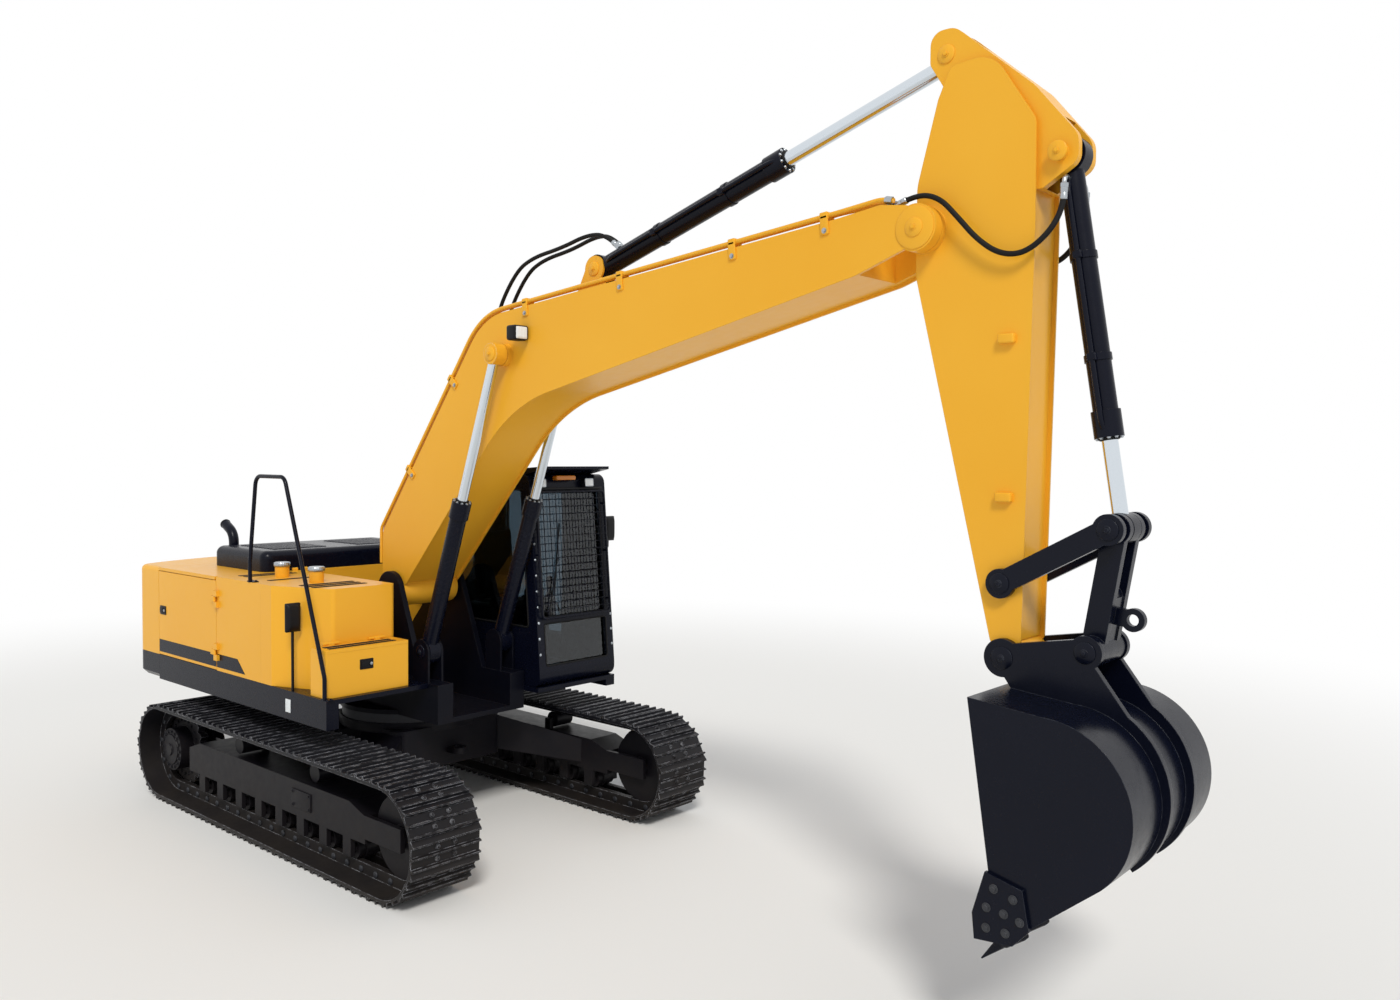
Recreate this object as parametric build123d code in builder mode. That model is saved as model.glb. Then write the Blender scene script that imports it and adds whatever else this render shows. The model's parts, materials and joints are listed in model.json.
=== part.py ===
"""Crawler excavator with a two-piece digging arm: tracks, swinging upper body, cab, boom, arm and bucket.

Millimetres. +X points forward, +Y to the machine's left (the cab's side) and +Z up.
The origin is on the ground, on the swing axis.
"""

import os
from math import atan2, cos, degrees, hypot, pi, radians, sin

from build123d import *

os.makedirs("parts", exist_ok=True)

# Track and undercarriage
track_gauge = 2560
shoe_width = 600
shoe_count = 49
wheel_base = 3720
pin_radius = 370
shoe_inner = 35
shoe_plate = 29
grouser_height = 26
rail_depth = 53
rail_width = 50
rail_gap = 100
notch_height = 4
running_gap = 0.4
roller_radius = 80
roller_flange = 12
roller_count = 8
roller_spacing = 350
carrier_radius = 75
carrier_spacing = 1280
carrier_length = 200
frame_width = 330
frame_bottom = 330
frame_top = 620
frame_end_gap = 18
frame_slope = 220
bracket_wall = 40
sprocket_teeth = 21
sprocket_width = 70
sprocket_root = 318
sprocket_tip = 362
drive_radius = 200
drive_length = 290
motor_radius = 150
motor_length = 120
idler_flange = 33
idler_hub = 90
carbody_width = 1120
carbody_length = 1240
carbody_bottom = 500
carbody_top = 915
carbody_collar = 660
leg_reach = 820
leg_root_width = 560
leg_end_width = 620
leg_end_bottom = 380
leg_end_top = 600
tow_lug = 50
tow_bore = 35
tow_reach = 80
tow_height = 640
bearing_outer = 640
bearing_inner = 500
bearing_height = 85

# Upper frame
body_half_width = 1430
deck_top = 1340
deck_plate = 40
skirt_bottom = 1100
skirt_width = 110
beam_inner = 312
beam_outer = 470
floor_plate = 40
frame_front = 1050
web_thickness = 50
web_boss = 175
web_rear = -760
web_front = 640
lug_thickness = 18
lug_width = 220

# Rear body and engine bay
body_top = 2190
tail_radius = 2960
tail_corner = 140
tail_depth = 810
tail_front = tail_depth - tail_radius
engine_front = -980
wall = 30
door_front = engine_front + wall
seam = 6
door_wall = 40
hood_top = 2385
hood_right = -960
hood_left = 860
hood_round = 90
hood_wall = 14
engine_length = 620
engine_width = 1250
engine_height = 620
tank_rear = -140
tank_front = 620
tank_inner = -600
tank_bevel_start = 40
tank_bevel_depth = 230
tank_wall = 10
box_front = 850
box_top = 1730
box_right = -1400
box_left = -630
lid_thickness = 30
exhaust_radius = 48
exhaust_x = tail_front + 90
exhaust_y = -720
exhaust_rise = 300
cap_radius = 62
cap_height = 95
deck_front = box_front + 60
rail_tube = 17
rail_bend = 90
rail_top = 3110
rail_rear = -330
rail_lean = 115
rail_grip = 480
rail_y = box_right - rail_tube - 8

# Door hinges
hinge_out = 16
hinge_radius = 12
hinge_pin = 6
hinge_leaf_length = 60
knuckle_length = 50
pump_hinge = (door_front - seam / 2, -body_half_width - hinge_out)
cooler_hinge = (tail_front + seam / 2, body_half_width + hinge_out)
door_hinge_heights = (deck_top + 170, body_top - 200)
hood_hinge = (engine_front + hinge_out, body_top + hinge_out)
hood_hinge_places = (hood_right + 350, hood_left - 350)
lid_hinge = (tank_front + hinge_out, box_top + hinge_out)
lid_hinge_places = (box_right + 170, box_left - 170)

# Cab
cab_right = 490
cab_rear = -560
cab_front = 1250
cab_bottom = 1200
cab_roof = 3130
cab_lean = 160
cab_wall = 60
cab_round = 90
cab_sill = 1330
cab_split = 1800
cab_belt = 1990
cab_header = 140
cab_head = cab_roof - cab_header
cab_glass = 6
door_rear = -440
door_forward = 650
door_frame = 95
cab_hinge = (door_rear + seam / 2, body_half_width + hinge_out)
cab_hinge_heights = (cab_sill + 150, cab_head - 250)
visor_reach = 130
visor_thickness = 26
seat_height = 1760
seat_x = 250
seat_depth = 520
seat_width = 490
seat_cushion = 120
seat_lean = 80
rest_height = 700

# Digging arm: pins seen from the side, as x and z
boom_foot = (153, 2069)
boom_tip = (5489, 4666)
lift_base = (800, 1600)
lift_eye = (1720, 4120)
crowd_base = (2534, 4760)
crowd_eye = (5586, 5693)
curl_base = (6298, 4999)
curl_eye = (6640, 2935)
rocker_pin = (6028, 2599)
bucket_pin = (6049, 2176)
link_pin = (6530, 2262)
boom_half = 290
boom_wall = 16
boom_lip = 20
foot_boss = 150
tip_boss = 140
nose_boss = 110
fork_inner = 214
arm_half = 165
arm_wall = 14
arm_lip = 25
crest_half = 122
crest_slot = 74
slot_radius = 204
void_top = 5100
fork_depth = 430
fork_cut = 2000
eye_gap = 5
ear_foot = 275
lift_y = 392
pin_gap = 0.3

# Cylinders
lift_barrel = 70
lift_rod = 42
lift_gland = 1400
crowd_barrel = 78
crowd_rod = 50
crowd_gland = 1880
curl_barrel = 68
curl_rod = 44
curl_gland = 1590
eye_half = 55
eye_radius = 85
eye_pin = 45
gland_grow = 12
gland_length = 150
lift_rod_length = 1750
crowd_rod_length = 1960
curl_rod_length = 1480

# Bucket and its links
rocker_inner = 172
rocker_thickness = 40
link_top_inner = 62
link_top_outer = 112
link_half = 160
hinge_inner = 167
hinge_thickness = 40
bucket_half = 620
bucket_wall = 25
bucket_centre = (6480, 1500)
bucket_radius = 475
bucket_mouth_top = (6052, 2018)
bucket_mouth_low = (6194, 1098)
bucket_lip = (6300, 735)
bucket_end_angle = -48
rib_height = 60
ear_back = 260
ear_drop = 340
tooth_count = 5
tooth_tip = (6128, 576)
tooth_half = 48
lift_lug = 40
lift_bore = 32
lifting_eye = (6715, 2440)

axle_height = pin_radius + shoe_inner + shoe_plate + grouser_height
frame_length = wheel_base - 2 * (sprocket_tip + frame_end_gap)
rail_inner = pin_radius - rail_depth
half_gauge = track_gauge / 2


def side_plane(y_outer):
    """Sketch plane with local x along X and local y along Z; extrusions leave it towards -Y."""
    return Plane.XZ.offset(-y_outer)


def save(piece, label):
    """Label a finished piece and write it as one STEP file."""
    piece.label = label
    export_step(piece, f"parts/{label}.step")


def hinge_leaf(pivot, height, toward, face):
    """Plate of one hinge half: from the pivot along X, and in to the panel's face."""
    depth = hinge_out + hinge_radius
    middle = pivot[1] + face * (hinge_out - hinge_radius) / (2 * hinge_out)
    with Locations((pivot[0] + toward * hinge_leaf_length / 2, middle, height)):
        Box(hinge_leaf_length, depth, knuckle_length)


def hinge_knuckles(pivot, heights, toward):
    """Door half of a hinge line: bored knuckles on their leaves."""
    face = -hinge_out if pivot[1] > 0 else hinge_out
    for height in heights:
        hinge_leaf(pivot, height, toward, face)
        with Locations((pivot[0], pivot[1], height)):
            Cylinder(hinge_radius, knuckle_length)
            Cylinder(hinge_pin + pin_gap, 2 * knuckle_length, mode=Mode.SUBTRACT)


def hinge_posts(pivot, heights, toward):
    """Fixed half of a hinge line: a lug above and below each knuckle, with the pin through all three."""
    face = -hinge_out if pivot[1] > 0 else hinge_out
    for height in heights:
        for end in (-1, 1):
            lug_height = height + end * (knuckle_length + running_gap)
            hinge_leaf(pivot, lug_height, toward, face)
            with Locations((pivot[0], pivot[1], lug_height)):
                Cylinder(hinge_radius, knuckle_length)
        with Locations((pivot[0], pivot[1], height)):
            Cylinder(hinge_pin, 3 * knuckle_length)


def cross_leaf(pivot, y, leaf):
    """Plate of a hinge half that lies along Y: from the pivot to the corner given by a leaf's x and z."""
    low = (min(pivot[0], leaf[0]), min(pivot[1], leaf[1]))
    high = (max(pivot[0], leaf[0]), max(pivot[1], leaf[1]))
    with Locations(((low[0] + high[0]) / 2, y, (low[1] + high[1]) / 2)):
        Box(high[0] - low[0], knuckle_length, high[1] - low[1])


def cross_knuckles(pivot, places, leaf):
    """Lid half of a hinge line along Y: bored knuckles on their leaves."""
    for y in places:
        cross_leaf(pivot, y, leaf)
        with Locations(Location((pivot[0], y, pivot[1]), (90, 0, 0))):
            Cylinder(hinge_radius, knuckle_length)
            Cylinder(hinge_pin + pin_gap, 2 * knuckle_length, mode=Mode.SUBTRACT)


def cross_posts(pivot, places, leaf):
    """Fixed half of a hinge line along Y: a lug each side of every knuckle, and a pin through all three."""
    for y in places:
        for end in (-1, 1):
            lug_y = y + end * (knuckle_length + running_gap)
            cross_leaf(pivot, lug_y, leaf)
            with Locations(Location((pivot[0], lug_y, pivot[1]), (90, 0, 0))):
                Cylinder(hinge_radius, knuckle_length)
        with Locations(Location((pivot[0], y, pivot[1]), (90, 0, 0))):
            Cylinder(hinge_pin, 3 * knuckle_length)


def turned(centre, radius, angle):
    """Point at a radius and an angle in degrees about a centre."""
    return (centre[0] + radius * cos(radians(angle)), centre[1] + radius * sin(radians(angle)))


def track_point(distance):
    """Point on the track's pin line, a stadium run rear to front along the ground first."""
    half_base = wheel_base / 2
    arc = pi * pin_radius
    distance %= 2 * (wheel_base + arc)
    if distance < wheel_base:
        return (distance - half_base, axle_height - pin_radius)
    distance -= wheel_base
    if distance < arc:
        return turned((half_base, axle_height), pin_radius, degrees(distance / pin_radius) - 90)
    distance -= arc
    if distance < wheel_base:
        return (half_base - distance, axle_height + pin_radius)
    distance -= wheel_base
    return turned((-half_base, axle_height), pin_radius, degrees(distance / pin_radius) + 90)


def shoe_outline():
    """Outer outline of the shoes: each shoe is straight between two pins and carries three grousers."""
    plate = shoe_inner + shoe_plate
    tip = plate + grouser_height
    profile = [(0, shoe_inner + shoe_plate - notch_height), (0.03, tip), (0.09, tip), (0.12, plate)]
    profile += [(0.44, plate), (0.47, tip), (0.53, tip), (0.56, plate)]
    profile += [(0.88, plate), (0.91, tip), (0.97, tip)]
    pitch = 2 * (wheel_base + pi * pin_radius) / shoe_count
    points = []
    for shoe in range(shoe_count):
        start = track_point(shoe * pitch)
        end = track_point((shoe + 1) * pitch)
        along = ((end[0] - start[0]), (end[1] - start[1]))
        chord = hypot(*along)
        outward = (along[1] / chord, -along[0] / chord)
        for share, height in profile:
            x = start[0] + share * along[0] + height * outward[0]
            z = start[1] + share * along[1] + height * outward[1]
            points.append((x, z))
    return points


def make_track(side):
    """One closed track: the shoes with their grousers and the two link rails inside them."""
    middle = side * half_gauge
    with BuildPart() as track:
        with BuildSketch(side_plane(middle + shoe_width / 2)):
            with BuildLine():
                Polyline(*shoe_outline(), close=True)
            make_face()
            with Locations((0, axle_height)):
                SlotCenterToCenter(wheel_base, 2 * (pin_radius + shoe_inner), mode=Mode.SUBTRACT)
        extrude(amount=shoe_width)
        for rail in (-1, 1):
            rail_middle = middle + rail * (rail_gap + rail_width) / 2
            with BuildSketch(side_plane(rail_middle + rail_width / 2)):
                with Locations((0, axle_height)):
                    SlotCenterToCenter(wheel_base, 2 * (pin_radius + shoe_inner))
                    SlotCenterToCenter(wheel_base, 2 * rail_inner, mode=Mode.SUBTRACT)
            extrude(amount=rail_width)
    return track.part


def make_track_frame(side):
    """Track frame: a closed beam with the idler's yoke, the drive's bracket and the rollers' saddles."""
    middle = side * half_gauge
    rear = -frame_length / 2
    front = frame_length / 2
    half = frame_width / 2
    with BuildPart() as frame:
        with BuildSketch(side_plane(middle + half)):
            with BuildLine():
                Polyline(
                    (rear, frame_bottom),
                    (front, frame_bottom),
                    (front, frame_top - frame_slope / 3),
                    (front - frame_slope, frame_top),
                    (rear + frame_slope, frame_top),
                    (rear, frame_top - frame_slope / 3),
                    close=True,
                )
            make_face()
        extrude(amount=frame_width)
        # the idler's yoke: one arm each side of the wheel
        yoke = wheel_base / 2 + idler_hub
        for arm in (-1, 1):
            outer = middle + arm * (half - bracket_wall / 2) + bracket_wall / 2
            with BuildSketch(side_plane(outer)):
                with Locations(((front + yoke) / 2 - bracket_wall, axle_height)):
                    Rectangle(yoke - front + 2 * bracket_wall, 2 * idler_hub)
            extrude(amount=bracket_wall)
        # the travel drive's bracket on the inner side
        inner = middle - side * (half - bracket_wall / 2)
        with BuildSketch(side_plane(inner + bracket_wall / 2)):
            with Locations((-wheel_base / 2, axle_height)):
                Circle(drive_radius + bracket_wall)
            with Locations(((rear - wheel_base / 2) / 2 + bracket_wall, axle_height)):
                Rectangle(rear + wheel_base / 2 + 2 * bracket_wall, 2 * idler_hub)
        extrude(amount=bracket_wall)
        # saddles that take the ends of the bottom rollers' shafts
        saddle_low = axle_height - rail_inner + roller_radius / 2
        for place in roller_places():
            for end in (-1, 1):
                outer = middle + end * (half - bracket_wall / 2) + bracket_wall / 2
                with BuildSketch(side_plane(outer)):
                    with Locations((place, (saddle_low + frame_bottom) / 2)):
                        Rectangle(roller_radius * 1.4, frame_bottom - saddle_low)
                extrude(amount=bracket_wall)
        # posts of the carrier rollers
        for place in carrier_places():
            with BuildSketch(side_plane(inner + bracket_wall / 2)):
                with Locations((place, (frame_top + carrier_height()) / 2)):
                    Rectangle(carrier_radius, carrier_height() - frame_top + carrier_radius / 2)
            extrude(amount=bracket_wall)
    return frame.part


def roller_places():
    """Places along X of the bottom rollers."""
    return [(i - (roller_count - 1) / 2) * roller_spacing for i in range(roller_count)]


def carrier_places():
    """Places along X of the carrier rollers."""
    return [-carrier_spacing / 2, carrier_spacing / 2]


def carrier_height():
    """Height of the carrier rollers' shafts."""
    return axle_height + rail_inner - running_gap - carrier_radius


def make_rollers(side):
    """Bottom and carrier rollers of one track, each a turned piece with its flanges and shaft."""
    middle = side * half_gauge
    bottom = axle_height - rail_inner + running_gap + roller_radius
    tread = (rail_gap + 2 * rail_width) / 2
    shaft_reach = (frame_width / 2 - bracket_wall)
    carrier_end = middle - side * shaft_reach
    with BuildPart() as rollers:
        for place in roller_places():
            with Locations(Location((place, middle, bottom), (90, 0, 0))):
                Cylinder(roller_radius, 2 * tread)
                Cylinder(roller_radius + roller_flange, rail_gap - 2 * roller_flange)
                Cylinder(roller_radius / 2, 2 * shaft_reach)
        for place in carrier_places():
            with Locations(Location((place, middle, carrier_height()), (90, 0, 0))):
                Cylinder(carrier_radius, carrier_length)
            shaft_length = abs(carrier_end - middle)
            with Locations(Location((place, (carrier_end + middle) / 2, carrier_height()), (90, 0, 0))):
                Cylinder(carrier_radius / 2, shaft_length)
    return rollers.part


def make_sprocket(side):
    """Toothed drive sprocket between the link rails, fitted on the travel drive's case."""
    middle = side * half_gauge
    step = 360 / sprocket_teeth
    tooth_profile = ((0.05, sprocket_root), (0.35, sprocket_tip), (0.65, sprocket_tip), (0.95, sprocket_root))
    points = []
    for tooth in range(sprocket_teeth):
        for share, radius in tooth_profile:
            points.append(turned((-wheel_base / 2, axle_height), radius, (tooth + share) * step))
    with BuildPart() as sprocket:
        with BuildSketch(side_plane(middle + sprocket_width / 2)):
            with BuildLine():
                Polyline(*points, close=True)
            make_face()
            with Locations((-wheel_base / 2, axle_height)):
                Circle(drive_radius + pin_gap, mode=Mode.SUBTRACT)
        extrude(amount=sprocket_width)
    return sprocket.part


def make_idler(side):
    """Front idler wheel: two treads for the link rails, a guide flange between them and its hub."""
    middle = side * half_gauge
    hub_length = frame_width - 2 * bracket_wall
    with BuildPart() as idler:
        with Locations(Location((wheel_base / 2, middle, axle_height), (90, 0, 0))):
            Cylinder(rail_inner - running_gap, rail_gap + 2 * rail_width)
            Cylinder(rail_inner + idler_flange, rail_gap - 2 * roller_flange)
            Cylinder(idler_hub, hub_length)
    return idler.part


# Undercarriage
for side, name in ((1, "left"), (-1, "right")):
    save(make_track(side), f"track_{name}")
    save(make_track_frame(side), f"track_frame_{name}")
    save(make_rollers(side), f"rollers_{name}")
    save(make_sprocket(side), f"sprocket_{name}")
    save(make_idler(side), f"idler_{name}")

with BuildPart() as travel_drives:
    bracket_inner = frame_width / 2 - bracket_wall
    for side in (1, -1):
        case_middle = side * (half_gauge - bracket_inner + drive_length / 2)
        with Locations(Location((-wheel_base / 2, case_middle, axle_height), (90, 0, 0))):
            Cylinder(drive_radius, drive_length)
        motor_middle = side * (half_gauge - frame_width / 2 - motor_length / 2)
        with Locations(Location((-wheel_base / 2, motor_middle, axle_height), (90, 0, 0))):
            Cylinder(motor_radius, motor_length)
save(travel_drives.part, "travel_drives")

with BuildPart() as carbody:
    with BuildSketch(Plane.XY.offset(carbody_bottom)):
        RectangleRounded(carbody_length, carbody_width, bearing_height)
    extrude(amount=carbody_top - carbody_bottom - bearing_height / 2)
    with BuildSketch(Plane.XY.offset(carbody_top - bearing_height)):
        Circle(carbody_collar)
    extrude(amount=bearing_height)
    leg_root_y = carbody_width / 2 - bearing_height
    leg_end_y = half_gauge - frame_width / 2
    for side in (1, -1):
        for end in (1, -1):
            with BuildSketch(side_plane(side * leg_root_y)):
                with Locations((end * leg_root_width / 2, (carbody_bottom + carbody_top) / 2)):
                    Rectangle(leg_root_width, carbody_top - carbody_bottom - bearing_height)
            with BuildSketch(side_plane(side * leg_end_y)):
                with Locations((end * leg_reach, (leg_end_bottom + leg_end_top) / 2)):
                    Rectangle(leg_end_width, leg_end_top - leg_end_bottom)
            loft(ruled=True)
    # flat tow lugs at both ends, with an upright bore for a shackle's pin
    for end in (1, -1):
        with BuildSketch(Plane.XY.offset(tow_height - tow_lug / 2)):
            with Locations((end * (carbody_length / 2 + tow_reach), 0)):
                Circle(2 * tow_bore)
            with Locations((end * (carbody_length / 2 + tow_reach / 2), 0)):
                Rectangle(tow_reach, 4 * tow_bore)
            with Locations((end * (carbody_length / 2 + tow_reach), 0)):
                Circle(tow_bore, mode=Mode.SUBTRACT)
        extrude(amount=tow_lug)
save(carbody.part, "carbody")

bearing_top = carbody_top + bearing_height
with BuildPart() as swing_bearing:
    with BuildSketch(Plane.XY.offset(carbody_top)):
        Circle(bearing_outer)
        Circle(bearing_inner, mode=Mode.SUBTRACT)
    extrude(amount=bearing_height)
save(swing_bearing.part, "swing_bearing")

# Main frame of the upper body
plate_low = bearing_top + running_gap
with BuildPart() as main_frame:
    with BuildSketch(Plane.XY.offset(plate_low)):
        with Locations(((frame_front + tail_front) / 2, 0)):
            Rectangle(frame_front - tail_front, 2 * beam_outer)
        Circle(carbody_collar)
    extrude(amount=floor_plate)
    for side in (1, -1):
        beam_middle = side * (beam_inner + beam_outer) / 2
        with BuildSketch(Plane.XY.offset(plate_low)):
            with Locations(((frame_front + tail_front) / 2, beam_middle)):
                Rectangle(frame_front - tail_front, beam_outer - beam_inner)
        extrude(amount=deck_top - plate_low)
        # upright web that carries the boom's foot
        web_outer = max(side * beam_inner, side * (beam_inner + web_thickness))
        with BuildSketch(side_plane(web_outer)):
            with BuildLine():
                Polyline(
                    (web_rear, deck_top),
                    (web_front, deck_top),
                    (boom_foot[0] + web_boss * cos(radians(30)), boom_foot[1] + web_boss / 2),
                    (boom_foot[0] - web_boss * cos(radians(30)), boom_foot[1] + web_boss / 2),
                    close=True,
                )
            make_face()
            with Locations(boom_foot):
                Circle(web_boss)
        extrude(amount=web_thickness)
        # twin lugs of the lift cylinder's base, with the pin between them
        for face in (-1, 1):
            lug_middle = side * lift_y + face * (eye_half + eye_gap + lug_thickness / 2)
            with BuildSketch(side_plane(lug_middle + lug_thickness / 2)):
                with Locations(lift_base):
                    Circle(lug_width / 2)
                with Locations((lift_base[0], (deck_top + lift_base[1]) / 2)):
                    Rectangle(lug_width, lift_base[1] - deck_top)
            extrude(amount=lug_thickness)
        with Locations(Location((lift_base[0], side * lift_y, lift_base[1]), (90, 0, 0))):
            Cylinder(eye_pin, 2 * (eye_half + eye_gap + lug_thickness))
    # the boom's foot pin, from web to web
    with Locations(Location((boom_foot[0], 0, boom_foot[1]), (90, 0, 0))):
        Cylinder(eye_pin, 2 * (beam_inner + web_thickness))
save(main_frame.part, "main_frame")

with BuildPart() as side_decks:
    # right deck, under the engine bay, the tank and the tool box
    right_low = -body_half_width
    with BuildSketch(Plane.XY.offset(deck_top - deck_plate)):
        with Locations(((tail_front + deck_front) / 2, (right_low - beam_outer) / 2)):
            Rectangle(deck_front - tail_front, body_half_width - beam_outer)
    extrude(amount=deck_plate)
    with BuildSketch(Plane.XY.offset(skirt_bottom)):
        with Locations(((tail_front + deck_front) / 2, right_low + skirt_width / 2)):
            Rectangle(deck_front - tail_front, skirt_width)
    extrude(amount=deck_top - deck_plate - skirt_bottom)
    # left deck: high behind the cab, low below it
    cab_gap = cab_rear - seam
    with BuildSketch(Plane.XY.offset(deck_top - deck_plate)):
        with Locations(((tail_front + cab_gap) / 2, (body_half_width + beam_outer) / 2)):
            Rectangle(cab_gap - tail_front, body_half_width - beam_outer)
    extrude(amount=deck_plate)
    cab_deck = cab_bottom
    with BuildSketch(Plane.XY.offset(cab_deck - deck_plate)):
        with Locations(((cab_gap + cab_front) / 2, (body_half_width + beam_outer) / 2)):
            Rectangle(cab_front - cab_gap, body_half_width - beam_outer)
    extrude(amount=deck_plate)
    with BuildSketch(Plane.XY.offset(skirt_bottom)):
        with Locations(((tail_front + cab_front) / 2, body_half_width - skirt_width / 2)):
            Rectangle(cab_front - tail_front, skirt_width)
    extrude(amount=cab_deck - deck_plate - skirt_bottom)
    with BuildSketch(Plane.XY.offset(cab_deck - deck_plate)):
        with Locations(((tail_front + cab_gap) / 2, body_half_width - skirt_width / 2)):
            Rectangle(cab_gap - tail_front, skirt_width)
    extrude(amount=deck_top - cab_deck)
save(side_decks.part, "side_decks")


def tail_sketch(front):
    """Plan of the tail: straight flanks and a rear face on the tail's swing circle, corners rounded."""
    corner_x = -((tail_radius**2 - body_half_width**2) ** 0.5)
    with BuildSketch(Plane.XY) as plan:
        with BuildLine():
            Line((front, body_half_width), (corner_x, body_half_width))
            ThreePointArc((corner_x, body_half_width), (-tail_radius, 0), (corner_x, -body_half_width))
            Line((corner_x, -body_half_width), (front, -body_half_width))
            Line((front, -body_half_width), (front, body_half_width))
        make_face()
        fillet(plan.vertices().group_by(Axis.X)[0], tail_corner)
    return plan.sketch


with BuildPart() as counterweight:
    with BuildSketch(Plane.XY.offset(deck_top)):
        add(tail_sketch(tail_front))
    extrude(amount=body_top - deck_top)
    tail_edges = counterweight.faces().sort_by(Axis.Z)[-1].edges().filter_by(GeomType.CIRCLE)
    fillet(tail_edges, tail_corner / 3)
    hinge_posts(cooler_hinge, door_hinge_heights, -1)
save(counterweight.part, "counterweight")

with BuildPart() as counterweight_base:
    with BuildSketch(Plane.XY.offset(skirt_bottom)):
        add(tail_sketch(tail_front))
    extrude(amount=deck_top - skirt_bottom)
    low_edges = counterweight_base.faces().sort_by(Axis.Z)[0].edges().filter_by(GeomType.CIRCLE)
    chamfer(low_edges, tail_corner / 3)
save(counterweight_base.part, "counterweight_base")

# Engine bay
with BuildPart() as engine_block:
    bay_middle = (tail_front + engine_front) / 2
    with Locations((bay_middle, 0, deck_top + engine_height / 2)):
        Box(engine_length, engine_width, engine_height)
    fillet(engine_block.edges().filter_by(Axis.Z), hood_round / 2)
save(engine_block.part, "engine_block")

bay_rear = tail_front
with BuildPart() as engine_housing:
    # bulkhead across the front of the bay
    with Locations((engine_front + wall / 2, 0, (deck_top + body_top) / 2)):
        Box(wall, 2 * (body_half_width - door_wall - seam), body_top - deck_top)
    # roof round the hood's opening
    with BuildSketch(Plane.XY.offset(body_top - wall)):
        with Locations(((bay_rear + engine_front) / 2, 0)):
            Rectangle(engine_front - bay_rear, 2 * body_half_width)
        opening_length = engine_front - bay_rear - 4 * wall
        opening_width = hood_left - hood_right - 4 * wall
        with Locations(((bay_rear + engine_front) / 2, (hood_left + hood_right) / 2)):
            Rectangle(opening_length, opening_width, mode=Mode.SUBTRACT)
    extrude(amount=wall)
    # fixed panel between the left door and the cab
    panel_middle = (door_front + cab_rear - seam) / 2
    panel_length = cab_rear - seam - door_front
    with Locations((panel_middle, body_half_width - wall / 2, (deck_top + body_top) / 2)):
        Box(panel_length, wall, body_top - deck_top)
    with Locations((panel_middle, (beam_outer + body_half_width) / 2, body_top - wall / 2)):
        Box(panel_length, body_half_width - beam_outer, wall)
    cross_posts(hood_hinge, hood_hinge_places, (hood_hinge[0] + hinge_radius, body_top))
save(engine_housing.part, "engine_housing")

with BuildPart() as engine_hood:
    hood_rear = bay_rear + 5 * wall
    hood_middle = ((hood_rear + engine_front) / 2, (hood_left + hood_right) / 2)
    hood_size = (engine_front - hood_rear, hood_left - hood_right)
    with BuildSketch(Plane.XY.offset(body_top + running_gap)):
        with Locations(hood_middle):
            RectangleRounded(*hood_size, hood_round)
    extrude(amount=hood_top - body_top)
    fillet(engine_hood.faces().sort_by(Axis.Z)[-1].edges(), hood_round * 0.8)
    offset(amount=-hood_wall, openings=engine_hood.faces().sort_by(Axis.Z)[0])
    cross_knuckles(hood_hinge, hood_hinge_places, (engine_front, hood_hinge[1] - hinge_radius))
save(engine_hood.part, "engine_hood")


def make_side_door(side, pivot, toward):
    """Engine bay door on one side: a flat panel with folded edges, and its half of the hinges."""
    low = deck_top + seam
    high = body_top - wall - seam
    length = door_front - tail_front - 2 * seam
    panel_y = side * (body_half_width - door_wall / 2)
    with BuildPart() as door:
        with Locations(((door_front + tail_front) / 2, panel_y, (low + high) / 2)):
            Box(length, door_wall, high - low)
            with Locations((0, -side * wall / 2, 0)):
                Box(length - 2 * wall, door_wall - wall / 2, high - low - 2 * wall, mode=Mode.SUBTRACT)
        hinge_knuckles(pivot, door_hinge_heights, toward)
    return door.part


save(make_side_door(-1, pump_hinge, -1), "pump_door")
save(make_side_door(1, cooler_hinge, 1), "cooler_door")

with BuildPart() as hydraulic_tank:
    tank_y = (tank_inner - body_half_width) / 2
    with Locations(((door_front + tank_rear) / 2, tank_y, (deck_top + body_top) / 2)):
        Box(tank_rear - door_front, body_half_width + tank_inner, body_top - deck_top)
    offset(amount=-tank_wall, mode=Mode.SUBTRACT)
    hinge_posts(pump_hinge, door_hinge_heights, 1)
save(hydraulic_tank.part, "hydraulic_tank")

with BuildPart() as fuel_tank:
    with BuildSketch(Plane.XY.offset(deck_top)):
        with BuildLine():
            Polyline(
                (tank_rear, tank_inner),
                (tank_front, tank_inner),
                (tank_front, -body_half_width + tank_bevel_depth),
                (tank_bevel_start, -body_half_width),
                (tank_rear, -body_half_width),
                close=True,
            )
        make_face()
    extrude(amount=body_top - deck_top)
    fillet(fuel_tank.edges().filter_by(Axis.Z).group_by(Axis.X)[-1], hood_round / 2)
    offset(amount=-tank_wall, mode=Mode.SUBTRACT)
    cross_posts(lid_hinge, lid_hinge_places, (tank_front, lid_hinge[1] - hinge_radius))
save(fuel_tank.part, "fuel_tank")

with BuildPart() as tool_box:
    box_middle = ((tank_front + box_front) / 2, (box_right + box_left) / 2)
    box_size = (box_front - tank_front, box_left - box_right)
    with BuildSketch(Plane.XY.offset(deck_top)):
        with Locations(box_middle):
            Rectangle(*box_size)
    extrude(amount=box_top - lid_thickness - deck_top)
    offset(amount=-tank_wall, openings=tool_box.faces().sort_by(Axis.Z)[-1])
save(tool_box.part, "tool_box")

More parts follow.
